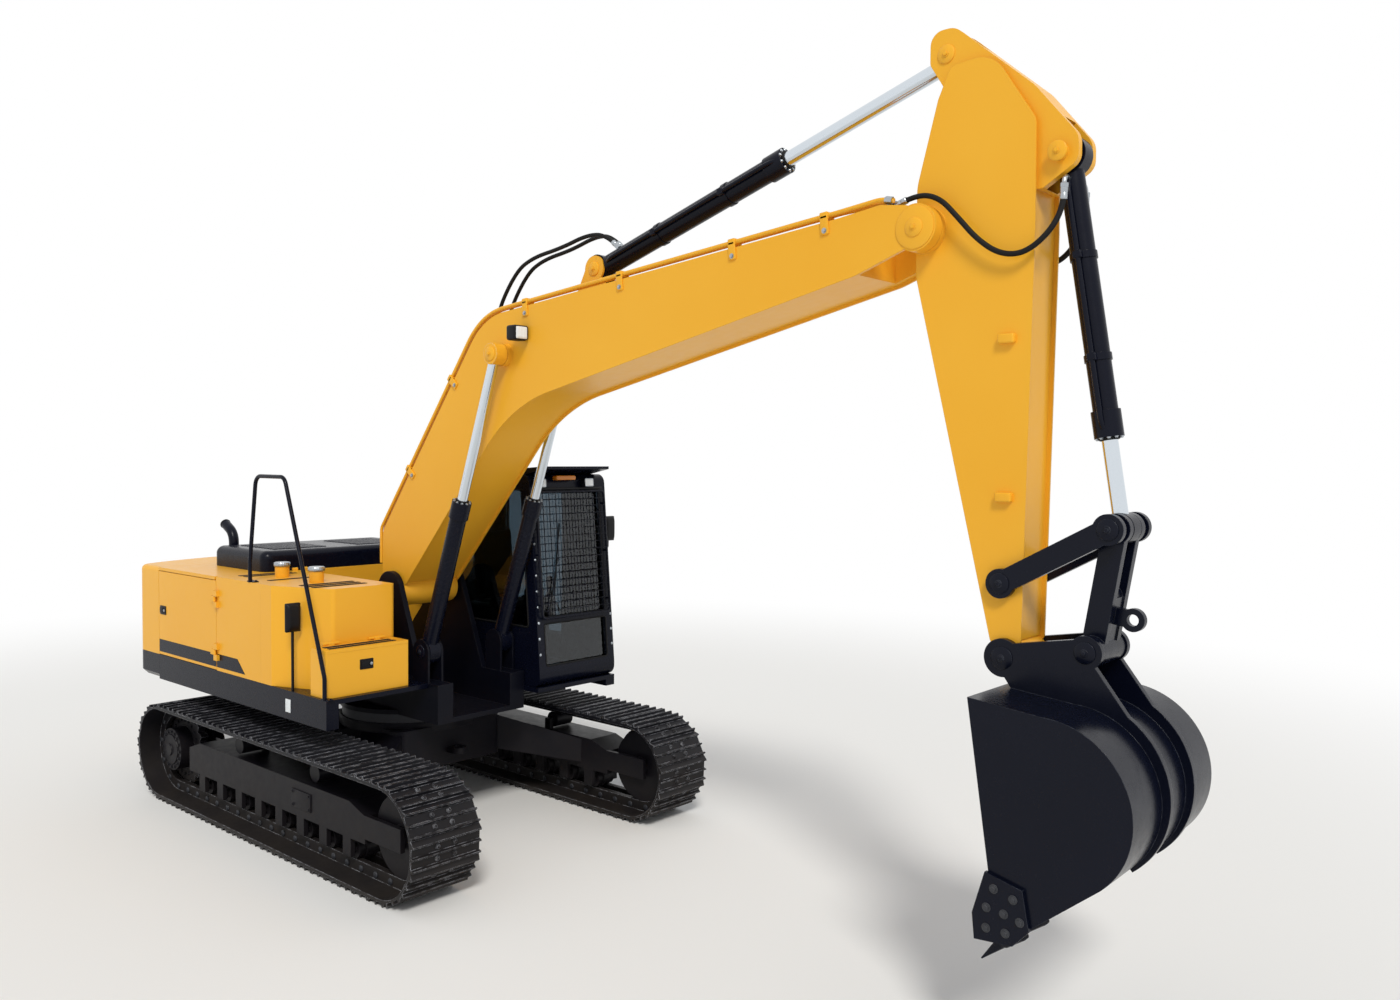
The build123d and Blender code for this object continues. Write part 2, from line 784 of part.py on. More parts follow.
with BuildPart() as tool_box_lid:
    with BuildSketch(Plane.XY.offset(box_top - lid_thickness + running_gap)):
        with Locations((box_middle[0] + seam, box_middle[1])):
            Rectangle(box_size[0] - 2 * seam, box_size[1])
    extrude(amount=lid_thickness)
    cross_knuckles(lid_hinge, lid_hinge_places, (lid_hinge[0] + 2 * hinge_radius, box_top + running_gap))
save(tool_box_lid.part, "tool_box_lid")

with BuildPart() as exhaust_pipe:
    with BuildLine() as exhaust_path:
        FilletPolyline(
            (exhaust_x, exhaust_y, body_top),
            (exhaust_x, exhaust_y, body_top + exhaust_rise),
            (exhaust_x - exhaust_rise * 0.6, exhaust_y, body_top + exhaust_rise * 1.3),
            radius=exhaust_rise * 0.5,
        )
    with BuildSketch(exhaust_path.wire() ^ 0):
        Circle(exhaust_radius)
    sweep()
save(exhaust_pipe.part, "exhaust_pipe")

with BuildPart() as filler_caps:
    for cap_x in ((door_front + tank_rear) / 2, tank_rear + cap_radius * 3):
        with Locations((cap_x, tank_y, body_top + cap_height / 2)):
            Cylinder(cap_radius, cap_height)
save(filler_caps.part, "filler_caps")


def swept_tube(points, tube_radius, bend):
    """Round tube along straight runs joined by tangent arcs."""
    with BuildPart() as tube:
        with BuildLine() as path:
            FilletPolyline(*points, radius=bend)
        with BuildSketch(path.wire() ^ 0):
            Circle(tube_radius)
        sweep()
    return tube.part


handrail_route = [
    (rail_rear, rail_y, body_top),
    (rail_rear, rail_y, body_top + 2 * rail_bend),
    (rail_rear + rail_lean, rail_y, rail_top),
    (rail_rear + rail_lean + rail_grip, rail_y, rail_top),
    (deck_front - 2 * rail_tube, rail_y, deck_top + 2 * rail_bend),
    (deck_front - 2 * rail_tube, rail_y, deck_top),
]
save(swept_tube(handrail_route, rail_tube, rail_bend), "handrail")

# Cab
cab_left = body_half_width
cab_middle = (cab_right + cab_left) / 2
cab_width = cab_left - cab_right


def screen_x(height):
    """Front face of the cab at a height: upright to the belt and leaning back above it."""
    lean = cab_lean * (height - cab_sill) / (cab_roof - cab_sill)
    return cab_front - max(0, lean)


def cab_outline(inset):
    """Side outline of the cab, set in by a wall."""
    front_low = (cab_front - inset, cab_bottom + inset)
    front_sill = (cab_front - inset, cab_sill)
    front_top = (screen_x(cab_roof) - inset, cab_roof - inset)
    rear_low = (cab_rear + inset, cab_bottom + inset)
    rear_top = (cab_rear + inset, cab_roof - inset)
    return [rear_low, front_low, front_sill, front_top, rear_top]


def screen_pane(low, high, grow):
    """Outline on the leaning windscreen, as points along Y and up the cab, for one opening."""
    edge = 1.4 * cab_wall
    return [
        (cab_right + edge - grow, low - grow),
        (cab_left - edge + grow, low - grow),
        (cab_left - edge + grow, high + grow),
        (cab_right + edge - grow, high + grow),
    ]


def side_window(rear, forward, low, high, shrink):
    """Side window outline that follows the lean of the cab's front edge."""
    return [
        (rear + shrink, low + shrink),
        (min(forward, screen_x(low) - 2 * cab_wall) - shrink, low + shrink),
        (min(forward, screen_x(high) - 2 * cab_wall) - shrink, high - shrink),
        (rear + shrink, high - shrink),
    ]


door_low = cab_bottom + cab_wall
door_high = cab_roof - 1.5 * cab_wall
right_window = (cab_rear + 2 * cab_wall, cab_front, cab_belt - 250, cab_head)
upper_pane = (cab_split + cab_wall / 2, cab_head)
lower_pane = (cab_sill + cab_wall, cab_split - cab_wall / 2)
with BuildPart() as cab_shell:
    with BuildSketch(side_plane(cab_left)):
        with BuildLine():
            Polyline(*cab_outline(0), close=True)
        make_face()
        fillet(vertices().group_by(Axis.Z)[-1], cab_round)
    extrude(amount=cab_width)
    with BuildSketch(side_plane(cab_left - cab_wall)):
        with BuildLine():
            Polyline(*cab_outline(cab_wall), close=True)
        make_face()
    extrude(amount=cab_width - 2 * cab_wall, mode=Mode.SUBTRACT)
    # windscreen, lower front pane and rear window
    for low, high in (upper_pane, lower_pane):
        with BuildSketch(Plane.YZ.offset(cab_rear + 4 * cab_wall)):
            with BuildLine():
                Polyline(*screen_pane(low, high, 0), close=True)
            make_face()
        extrude(amount=cab_front - cab_rear, mode=Mode.SUBTRACT)
    with BuildSketch(Plane.YZ.offset(cab_rear - cab_wall)):
        with BuildLine():
            Polyline(*screen_pane(cab_belt, cab_head, 0), close=True)
        make_face()
    extrude(amount=3 * cab_wall, mode=Mode.SUBTRACT)
    # right window and the doorway
    with BuildSketch(side_plane(cab_right + 2 * cab_wall)):
        with BuildLine():
            Polyline(*side_window(*right_window, 0), close=True)
        make_face()
    extrude(amount=4 * cab_wall, mode=Mode.SUBTRACT)
    with BuildSketch(side_plane(cab_left + cab_wall)):
        with BuildLine():
            Polyline(*side_window(door_rear, door_forward, door_low, door_high, 0), close=True)
        make_face()
    extrude(amount=3 * cab_wall, mode=Mode.SUBTRACT)
    hinge_posts(cab_hinge, cab_hinge_heights, -1)
save(cab_shell.part, "cab_shell")

with BuildPart() as cab_glazing:
    # windscreen and lower pane, cut from one leaning slab
    for low, high in (upper_pane, lower_pane):
        with BuildSketch(side_plane(cab_left - 1.4 * cab_wall - pin_gap)):
            with BuildLine():
                Polyline(
                    (screen_x(low) - cab_wall / 2 - cab_glass, low + pin_gap),
                    (screen_x(low) - cab_wall / 2, low + pin_gap),
                    (screen_x(high) - cab_wall / 2, high - pin_gap),
                    (screen_x(high) - cab_wall / 2 - cab_glass, high - pin_gap),
                    close=True,
                )
            make_face()
        extrude(amount=cab_width - 2.8 * cab_wall - 2 * pin_gap)
    with BuildSketch(Plane.YZ.offset(cab_rear + cab_wall / 2)):
        with BuildLine():
            Polyline(*screen_pane(cab_belt, cab_head, -pin_gap), close=True)
        make_face()
    extrude(amount=cab_glass)
    with BuildSketch(side_plane(cab_right + cab_wall / 2)):
        with BuildLine():
            Polyline(*side_window(*right_window, pin_gap), close=True)
        make_face()
    extrude(amount=cab_glass)
save(cab_glazing.part, "cab_glazing")

# Cab door, hinged at its rear edge
door_window = (
    door_rear + door_frame,
    door_forward - door_frame,
    cab_sill + 2 * door_frame,
    door_high - cab_wall,
)
with BuildPart() as cab_door:
    with BuildSketch(side_plane(cab_left)):
        with BuildLine():
            Polyline(*side_window(door_rear, door_forward, door_low, door_high, seam), close=True)
        make_face()
    extrude(amount=cab_wall)
    with BuildSketch(side_plane(cab_left + cab_wall)):
        with BuildLine():
            Polyline(*side_window(*door_window, 0), close=True)
        make_face()
    extrude(amount=3 * cab_wall, mode=Mode.SUBTRACT)
    hinge_knuckles(cab_hinge, cab_hinge_heights, 1)
save(cab_door.part, "cab_door")

with BuildPart() as door_glass:
    with BuildSketch(side_plane(cab_left - cab_wall / 2)):
        with BuildLine():
            Polyline(*side_window(*door_window, pin_gap), close=True)
        make_face()
    extrude(amount=cab_glass)
save(door_glass.part, "door_glass")

# Roof visor with the lamps below it
with BuildPart() as cab_visor:
    visor_rear = screen_x(cab_roof) - 4 * cab_wall
    visor_front = screen_x(cab_roof) + visor_reach
    with BuildSketch(side_plane(cab_left - cab_wall)):
        with BuildLine():
            Polyline(
                (visor_rear, cab_roof),
                (visor_rear + 2 * cab_wall, cab_roof),
                (visor_front, cab_roof + 2 * visor_thickness),
                (visor_front, cab_roof + 3 * visor_thickness),
                (visor_rear, cab_roof + 2 * visor_thickness),
                close=True,
            )
        make_face()
    extrude(amount=cab_width - 2 * cab_wall)
save(cab_visor.part, "cab_visor")

with BuildPart() as operator_seat:
    with Locations((seat_x, cab_middle, (cab_bottom + cab_wall + seat_height) / 2)):
        Box(0.7 * seat_depth, 0.75 * seat_width, seat_height - cab_bottom - cab_wall)
    with Locations((seat_x, cab_middle, seat_height + seat_cushion / 2)):
        Box(seat_depth, seat_width, seat_cushion)
    rest_rear = seat_x - seat_depth / 2
    rest_low = seat_height + seat_cushion
    with BuildSketch(side_plane(cab_middle + seat_width / 2)):
        with BuildLine():
            Polyline(
                (rest_rear, rest_low),
                (rest_rear + seat_cushion, rest_low),
                (rest_rear + seat_cushion - seat_lean, rest_low + rest_height),
                (rest_rear - seat_lean, rest_low + rest_height),
                close=True,
            )
        make_face()
    extrude(amount=seat_width)
save(operator_seat.part, "operator_seat")


# Boom
def middle_of(a, b, share=0.5):
    """Point part of the way from one point to another."""
    return (a[0] + share * (b[0] - a[0]), a[1] + share * (b[1] - a[1]))


boom_outline = [
    (60, 1945),
    (-60, 2110),
    (-50, 2600),
    (1430, 4445),
    (4950, 4790),
    (5250, 4830),
    (5460, 4800),
    (5460, 4560),
    (5071, 4421),
    (1780, 3703),
    (330, 2150),
]
boom_radii = [30, 60, 150, 620, 200, 100, 40, 40, 400, 1500, 200]


def boom_sketch(inset):
    """Side outline of the boom, set in by a wall."""
    with BuildSketch(Plane.XZ) as outline:
        with BuildLine():
            FilletPolyline(*boom_outline, radius=boom_radii, close=True)
        make_face()
        if inset:
            offset(amount=-inset, mode=Mode.REPLACE)
    return outline.sketch


fork_rear = boom_tip[0] - fork_depth
with BuildPart() as boom:
    # side plates, which stand past the top and bottom plates by a lip
    for y_outer in (boom_half, boom_wall - boom_half):
        with BuildSketch(side_plane(y_outer)):
            add(boom_sketch(0))
            with Locations(boom_foot):
                Circle(foot_boss)
            with Locations(boom_tip):
                Circle(tip_boss)
        extrude(amount=boom_wall)
    with BuildSketch(Plane.XZ):
        add(boom_sketch(boom_lip))
        with Locations(boom_foot):
            Circle(foot_boss)
        with Locations(boom_tip):
            Circle(tip_boss)
    extrude(amount=boom_half - boom_wall / 2, both=True)
    # the closed inside of the box girder
    with BuildSketch(Plane.XZ):
        add(boom_sketch(boom_lip + boom_wall))
        with Locations(boom_foot):
            Circle(foot_boss + boom_wall, mode=Mode.SUBTRACT)
        with Locations((fork_rear + fork_cut / 2 - boom_wall * 2, boom_tip[1])):
            Rectangle(fork_cut, fork_cut, mode=Mode.SUBTRACT)
    extrude(amount=boom_half - boom_wall, both=True, mode=Mode.SUBTRACT)
    # fork that takes the arm
    with BuildSketch(Plane.XZ):
        with Locations((fork_rear + fork_cut / 2, boom_tip[1])):
            Rectangle(fork_cut, fork_cut)
    extrude(amount=fork_inner, both=True, mode=Mode.SUBTRACT)
    # bore of the foot pin
    with Locations(Location((boom_foot[0], 0, boom_foot[1]), (90, 0, 0))):
        Cylinder(eye_pin + pin_gap, 2 * boom_half, mode=Mode.SUBTRACT)
    # pin across the fork
    with Locations(Location((boom_tip[0], 0, boom_tip[1]), (90, 0, 0))):
        Cylinder(eye_pin, 2 * boom_half)
    # bosses of the lift cylinders' upper pin
    for side in (1, -1):
        boss_length = lift_y - eye_half - eye_gap - boom_half
        boss_y = side * (boom_half + boss_length / 2)
        with Locations(Location((lift_eye[0], boss_y, lift_eye[1]), (90, 0, 0))):
            Cylinder(1.1 * eye_radius, boss_length)
    # ears of the crowd cylinder's base, with their pin
    for side in (1, -1):
        ear_middle = side * (eye_half + eye_gap + lug_thickness / 2)
        with BuildSketch(side_plane(ear_middle + lug_thickness / 2)):
            with BuildLine():
                Polyline(
                    (crowd_base[0] - 2.9 * eye_radius, crowd_base[1] - ear_foot),
                    (crowd_base[0] + 2.4 * eye_radius, crowd_base[1] - 0.8 * ear_foot),
                    (crowd_base[0] + 0.8 * eye_radius, crowd_base[1] - 0.7 * eye_radius),
                    (crowd_base[0] - 0.9 * eye_radius, crowd_base[1] + 0.5 * eye_radius),
                    close=True,
                )
            make_face()
            with Locations(crowd_base):
                Circle(1.2 * eye_radius)
        extrude(amount=lug_thickness)
    with Locations(Location((crowd_base[0], 0, crowd_base[1]), (90, 0, 0))):
        Cylinder(eye_pin, 2 * (eye_half + eye_gap + lug_thickness))
save(boom.part, "boom")

# Arm
arm_outline = [
    (5560, 5420),
    (5430, 4930),
    (5430, 4400),
    (5960, 2240),
    (6142, 2240),
    (6179, 4600),
    (6172, 5200),
    (5900, 5620),
    (5640, 5600),
]
arm_radii = [60, 300, 300, 40, 40, 400, 120, 200, 60]
crest_outline = [
    (5480, 5650),
    (5480, 5840),
    (5640, 5840),
    (6140, 5400),
    (6400, 5080),
    (6400, 4940),
    (6170, 4800),
    (5700, 5300),
]
crest_radii = [60, 80, 120, 300, 120, 80, 60, 60]


def arm_sketch(inset):
    """Side outline of the arm, set in by a wall."""
    with BuildSketch(Plane.XZ) as outline:
        with BuildLine():
            FilletPolyline(*arm_outline, radius=arm_radii, close=True)
        make_face()
        if inset:
            offset(amount=-inset, mode=Mode.REPLACE)
    return outline.sketch


with BuildPart() as arm:
    # side plates, which stand past the plates between them by a lip
    for y_outer in (arm_half, arm_wall - arm_half):
        with BuildSketch(side_plane(y_outer)):
            add(arm_sketch(0))
            with Locations(bucket_pin):
                Circle(nose_boss)
        extrude(amount=arm_wall)
    with BuildSketch(Plane.XZ):
        add(arm_sketch(arm_lip))
        with Locations(bucket_pin):
            Circle(nose_boss)
    extrude(amount=arm_half - arm_wall / 2, both=True)
    # crest plates over the head of the arm, a slot apart
    with BuildSketch(Plane.XZ):
        with BuildLine():
            FilletPolyline(*crest_outline, radius=crest_radii, close=True)
        make_face()
    extrude(amount=crest_half, both=True)
    # closed inside
    with BuildSketch(Plane.XZ):
        add(arm_sketch(arm_lip + arm_wall))
        with Locations(boom_tip):
            Circle(tip_boss + arm_wall, mode=Mode.SUBTRACT)
        with Locations(rocker_pin):
            Circle(tip_boss, mode=Mode.SUBTRACT)
        with Locations((boom_tip[0], void_top + fork_cut / 2)):
            Rectangle(fork_cut, fork_cut, mode=Mode.SUBTRACT)
        with Locations(curl_base):
            Circle(slot_radius + arm_wall, mode=Mode.SUBTRACT)
    extrude(amount=arm_half - arm_wall, both=True, mode=Mode.SUBTRACT)
    # slots for the two cylinders' eyes
    for eye in (crowd_eye, curl_base):
        with BuildSketch(Plane.XZ):
            with Locations(eye):
                Circle(slot_radius)
        extrude(amount=crest_slot, both=True, mode=Mode.SUBTRACT)
    with Locations(Location((curl_base[0], 0, curl_base[1]), (90, 0, 0))):
        Cylinder(eye_pin, 2 * arm_half)
    # pivot in the boom's fork
    with Locations(Location((boom_tip[0], 0, boom_tip[1]), (90, 0, 0))):
        Cylinder(tip_boss, 2 * (fork_inner - eye_gap))
        Cylinder(eye_pin + pin_gap, 2 * fork_inner, mode=Mode.SUBTRACT)
    # pins of the rocker and the bucket
    with Locations(Location((rocker_pin[0], 0, rocker_pin[1]), (90, 0, 0))):
        Cylinder(eye_pin, 2 * (rocker_inner + rocker_thickness))
    with Locations(Location((bucket_pin[0], 0, bucket_pin[1]), (90, 0, 0))):
        Cylinder(eye_pin, 2 * (hinge_inner + hinge_thickness))
save(arm.part, "arm")


def cylinder_plane(base, eye, y):
    """Plane at the base pin whose local z runs along the cylinder and local x across it, upright."""
    run = hypot(eye[0] - base[0], eye[1] - base[1])
    along = ((eye[0] - base[0]) / run, 0, (eye[1] - base[1]) / run)
    return Plane(origin=(base[0], y, base[1]), x_dir=(-along[2], 0, along[0]), z_dir=along)


def make_barrel(base, eye, y, barrel, rod, gland):
    """Cylinder barrel: base eye, tube with a blind bore and a stepped gland at its mouth."""
    across = Location((base[0], y, base[1]), (90, 0, 0))
    plane = cylinder_plane(base, eye, y)
    with BuildPart() as piece:
        with BuildSketch(plane):
            Circle(barrel)
        extrude(amount=gland)
        with BuildSketch(plane.offset(gland - gland_length)):
            Circle(barrel + gland_grow)
        extrude(amount=gland_length)
        with BuildSketch(plane.offset(2 * eye_radius)):
            Circle(rod + pin_gap)
        extrude(amount=gland, mode=Mode.SUBTRACT)
        with Locations(across):
            Cylinder(4 * eye_radius / 3, 4 * barrel, mode=Mode.SUBTRACT)
            Cylinder(4 * eye_radius / 3 + pin_gap, 2 * eye_half)
            Cylinder(eye_pin + pin_gap, 2 * eye_half, mode=Mode.SUBTRACT)
    return piece.part


def make_rod(base, eye, y, rod, rod_length):
    """Cylinder rod with its eye."""
    run = hypot(eye[0] - base[0], eye[1] - base[1])
    plane = cylinder_plane(base, eye, y)
    with BuildPart() as piece:
        with BuildSketch(plane.offset(run - rod_length)):
            Circle(rod)
        extrude(amount=rod_length)
        with Locations(Location((eye[0], y, eye[1]), (90, 0, 0))):
            Cylinder(eye_radius, 2 * eye_half)
    return piece.part


cylinder_sizes = {
    "lift_left": (lift_base, lift_eye, lift_y, lift_barrel, lift_rod, lift_gland, lift_rod_length),
    "lift_right": (lift_base, lift_eye, -lift_y, lift_barrel, lift_rod, lift_gland, lift_rod_length),
    "crowd": (crowd_base, crowd_eye, 0, crowd_barrel, crowd_rod, crowd_gland, crowd_rod_length),
    "curl": (curl_base, curl_eye, 0, curl_barrel, curl_rod, curl_gland, curl_rod_length),
}
for name, (base, eye, y, barrel, rod, gland, rod_length) in cylinder_sizes.items():
    save(make_barrel(base, eye, y, barrel, rod, gland), f"{name}_barrel")
    save(make_rod(base, eye, y, rod, rod_length), f"{name}_rod")


# Rocker, bucket link and bucket
def bar_sketch(start, end, start_radius, end_radius, waist):
    """Side outline of a link: a bar between two round ends."""
    angle = degrees(atan2(end[1] - start[1], end[0] - start[0]))
    reach = hypot(end[0] - start[0], end[1] - start[1])
    with BuildSketch(Plane.XZ) as outline:
        with Locations(start):
            Circle(start_radius)
        with Locations(end):
            Circle(end_radius)
        with Locations(Location(middle_of(start, end), angle)):
            Rectangle(reach, waist)
    return outline.sketch


with BuildPart() as rocker:
    for side in (1, -1):
        outer = side * (rocker_inner + rocker_thickness / 2) + rocker_thickness / 2
        with BuildSketch(side_plane(outer)):
            add(bar_sketch(rocker_pin, curl_eye, eye_radius, eye_radius, 1.5 * eye_radius))
            with Locations(rocker_pin):
                Circle(eye_pin + pin_gap, mode=Mode.SUBTRACT)
        extrude(amount=rocker_thickness)
        stub_length = rocker_inner - link_top_outer - eye_gap
        stub_y = side * (rocker_inner - stub_length / 2)
        with Locations(Location((curl_eye[0], stub_y, curl_eye[1]), (90, 0, 0))):
            Cylinder(eye_pin, stub_length)
save(rocker.part, "rocker")

with BuildPart() as bucket_link:
    for side in (1, -1):
        ear = link_top_outer - link_top_inner
        outer = side * (link_top_inner + link_top_outer) / 2 + ear / 2
        with BuildSketch(side_plane(outer)):
            add(bar_sketch(link_pin, curl_eye, eye_radius, eye_radius, 1.5 * eye_radius))
        extrude(amount=ear)
    with BuildSketch(Plane.XZ):
        brace_end = middle_of(link_pin, curl_eye, 0.45)
        add(bar_sketch(link_pin, brace_end, eye_radius, eye_pin, 1.3 * eye_radius))
    extrude(amount=link_top_outer, both=True)
    with Locations(Location((link_pin[0], 0, link_pin[1]), (90, 0, 0))):
        Cylinder(eye_radius, 2 * link_half)
        Cylinder(eye_pin + pin_gap, 2 * link_half, mode=Mode.SUBTRACT)
    # lifting eye on the front of the link
    with BuildSketch(side_plane(lift_lug / 2)):
        lug_root = middle_of(link_pin, curl_eye, 0.3)
        add(bar_sketch(lug_root, lifting_eye, eye_pin, 2 * lift_bore, 3 * lift_bore))
        with Locations(lifting_eye):
            Circle(lift_bore, mode=Mode.SUBTRACT)
    extrude(amount=lift_lug)
save(bucket_link.part, "bucket_link")

bucket_arc_end = turned(bucket_centre, bucket_radius, bucket_end_angle)
bucket_arc_top = turned(bucket_centre, bucket_radius, 90)


def bucket_sketch(inset):
    """Side outline of the bucket; the inner outline runs out through the mouth."""
    radius = bucket_radius - inset
    top = turned(bucket_centre, radius, 90)
    low = turned(bucket_centre, radius, bucket_end_angle)
    shift = (bucket_lip[0] - inset * sin(radians(-bucket_end_angle)), bucket_lip[1] + inset)
    mouth = 6 * inset
    rim_top = (bucket_mouth_top[0] - mouth, bucket_mouth_top[1] - inset)
    rim_low = (bucket_mouth_low[0] - mouth, bucket_mouth_low[1] - 2 * mouth)
    with BuildSketch(Plane.XZ) as outline:
        with BuildLine():
            Line(rim_top, top)
            ThreePointArc(top, turned(bucket_centre, radius, 20), low)
            if inset:
                Line(low, shift)
                Line(shift, rim_low)
                Line(rim_low, rim_top)
            else:
                Line(low, bucket_lip)
                Line(bucket_lip, bucket_mouth_low)
                Line(bucket_mouth_low, bucket_mouth_top)
        make_face()
    return outline.sketch


with BuildPart() as bucket:
    with BuildSketch(Plane.XZ):
        add(bucket_sketch(0))
    extrude(amount=bucket_half, both=True)
    with BuildSketch(Plane.XZ):
        add(bucket_sketch(bucket_wall))
    extrude(amount=bucket_half - bucket_wall, both=True, mode=Mode.SUBTRACT)
    for side in (1, -1):
        outer = side * (hinge_inner + hinge_thickness / 2) + hinge_thickness / 2
        with BuildSketch(side_plane(outer)):
            # ear round both pins
            add(bar_sketch(bucket_pin, link_pin, nose_boss, 1.1 * eye_radius, 1.8 * eye_radius))
            # foot down to the top plate, then the rib round the back
            with BuildLine():
                Polyline(
                    (bucket_pin[0] - rib_height, bucket_pin[1]),
                    (bucket_mouth_top[0] + rib_height, bucket_mouth_top[1] - bucket_wall / 2),
                    (bucket_arc_top[0], bucket_arc_top[1] - bucket_wall / 2),
                    (link_pin[0] + ear_back, link_pin[1] - ear_drop),
                    link_pin,
                    close=True,
                )
            make_face()
            with BuildLine():
                outer_start = turned(bucket_centre, bucket_radius + rib_height, 70)
                outer_end = turned(bucket_centre, bucket_radius + rib_height / 3, bucket_end_angle)
                inner_end = turned(bucket_centre, bucket_radius - bucket_wall / 2, bucket_end_angle)
                inner_start = turned(bucket_centre, bucket_radius - bucket_wall / 2, 70)
                outer_middle = turned(bucket_centre, bucket_radius + 0.8 * rib_height, 10)
                inner_middle = turned(bucket_centre, bucket_radius - bucket_wall / 2, 10)
                ThreePointArc(outer_start, outer_middle, outer_end)
                Line(outer_end, inner_end)
                ThreePointArc(inner_end, inner_middle, inner_start)
                Line(inner_start, outer_start)
            make_face()
            with Locations(bucket_pin):
                Circle(eye_pin + pin_gap, mode=Mode.SUBTRACT)
        extrude(amount=hinge_thickness)
    with Locations(Location((link_pin[0], 0, link_pin[1]), (90, 0, 0))):
        Cylinder(eye_pin, 2 * (hinge_inner + hinge_thickness))
save(bucket.part, "bucket")

with BuildPart() as bucket_teeth:
    spread = (2 * bucket_half - 4 * tooth_half) / (tooth_count - 1)
    for tooth in range(tooth_count):
        y = (tooth - (tooth_count - 1) / 2) * spread
        with BuildSketch(side_plane(y + tooth_half)):
            with BuildLine():
                Polyline(
                    bucket_lip,
                    tooth_tip,
                    middle_of(bucket_mouth_low, bucket_lip, 0.84),
                    close=True,
                )
            make_face()
        extrude(amount=2 * tooth_half)
save(bucket_teeth.part, "bucket_teeth")
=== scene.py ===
"""Crawler excavator: finishes, fine pieces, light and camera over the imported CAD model."""

import json
import logging
from dataclasses import dataclass
from enum import Enum

import bmesh
import bpy
import numpy as np
from mathutils import Matrix, Vector

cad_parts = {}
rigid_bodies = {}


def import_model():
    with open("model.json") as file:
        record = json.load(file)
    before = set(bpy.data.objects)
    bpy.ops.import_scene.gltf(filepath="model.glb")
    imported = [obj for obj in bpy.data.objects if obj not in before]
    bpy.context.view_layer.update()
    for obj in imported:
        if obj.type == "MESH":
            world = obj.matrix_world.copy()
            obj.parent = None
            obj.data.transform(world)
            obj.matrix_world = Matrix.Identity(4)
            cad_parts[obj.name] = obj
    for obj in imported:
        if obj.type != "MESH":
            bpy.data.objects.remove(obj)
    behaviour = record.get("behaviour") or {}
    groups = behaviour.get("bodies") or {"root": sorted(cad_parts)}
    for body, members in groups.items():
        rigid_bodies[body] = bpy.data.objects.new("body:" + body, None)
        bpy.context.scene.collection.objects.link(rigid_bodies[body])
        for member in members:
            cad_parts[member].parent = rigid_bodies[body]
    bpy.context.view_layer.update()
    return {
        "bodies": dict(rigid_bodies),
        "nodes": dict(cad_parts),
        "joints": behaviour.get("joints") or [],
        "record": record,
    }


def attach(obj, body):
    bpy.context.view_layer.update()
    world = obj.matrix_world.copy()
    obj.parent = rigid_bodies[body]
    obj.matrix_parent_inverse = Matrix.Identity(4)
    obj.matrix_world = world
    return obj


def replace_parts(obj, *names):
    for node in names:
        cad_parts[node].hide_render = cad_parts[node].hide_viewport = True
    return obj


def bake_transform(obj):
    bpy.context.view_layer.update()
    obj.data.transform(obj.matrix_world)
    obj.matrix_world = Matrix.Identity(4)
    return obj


log = logging.getLogger("excavator")
Array = np.ndarray
Point = tuple[float, float, float]
# Millimetres in a metre
MM = 1000.0
# Turns a flat shape's z to the machine's +X, with its x across and its y up
LOOK_FORWARD = np.array([[0.0, 0.0, 1.0], [1.0, 0.0, 0.0], [0.0, 1.0, 0.0]])


class Slot(Enum):
    """Material slots of the record."""

    BODY_PAINT = "body_paint"
    DARK_PAINT = "dark_paint"
    TRACK_STEEL = "track_steel"
    ROD_CHROME = "rod_chrome"
    SEAT_CLOTH = "seat_cloth"


class Body(Enum):
    """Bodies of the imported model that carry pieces."""

    UNDERCARRIAGE = "undercarriage"
    UPPER = "upper"
    BOOM = "boom"
    ARM = "arm"
    BUCKET = "bucket"
    CAB_DOOR = "cab_door"
    PUMP_DOOR = "pump_door"
    COOLER_DOOR = "cooler_door"
    HOOD = "engine_hood"
    LID = "tool_box_lid"
    LIFT_LEFT = "lift_left_barrel"
    LIFT_RIGHT = "lift_right_barrel"
    CROWD = "crowd_barrel"
    CURL = "curl_barrel"
    ROCKER = "rocker"
    LIFT_LEFT_ROD = "lift_left_rod"
    LIFT_RIGHT_ROD = "lift_right_rod"
    CROWD_ROD = "crowd_rod"
    CURL_ROD = "curl_rod"


def linear(hex_colour: str) -> tuple[float, float, float, float]:
    """Turns an sRGB hex value into the linear colour that a shader takes.

    Args:
        hex_colour: colour such as "#F2B731".

    Returns:
        Red, green, blue and alpha, linear.
    """
    parts = np.array([int(hex_colour[place:place + 2], 16) for place in (1, 3, 5)]) / 255.0
    light = np.where(parts <= 0.04045, parts / 12.92, ((parts + 0.055) / 1.055) ** 2.4)
    return (*light.tolist(), 1.0)


def add_node(tree: bpy.types.NodeTree, kind: str, inputs: dict | None = None,
             **settings: object) -> bpy.types.Node:
    """Adds a node, sets its properties, and sets or links its input sockets.

    Args:
        tree: node tree that gets the node.
        kind: node type.
        inputs: socket name or number, and the value or the output socket that it takes.
        settings: properties of the node.

    Returns:
        The new node.
    """
    node = tree.nodes.new(kind)
    for key, value in settings.items():
        setattr(node, key, value)
    for key, value in (inputs or {}).items():
        if isinstance(value, bpy.types.NodeSocket):
            tree.links.new(value, node.inputs[key])
        else:
            node.inputs[key].default_value = value
    return node


def new_material(name: str) -> tuple[bpy.types.Material, bpy.types.NodeTree, bpy.types.Node]:
    """Starts a material with a shader of its own.

    Args:
        name: the material's name.

    Returns:
        The material, its node tree and its shader node.
    """
    material = bpy.data.materials.new(name)
    material.use_nodes = True
    tree = material.node_tree
    tree.nodes.clear()
    shader = add_node(tree, "ShaderNodeBsdfPrincipled")
    add_node(tree, "ShaderNodeOutputMaterial", {"Surface": shader.outputs["BSDF"]})
    return material, tree, shader


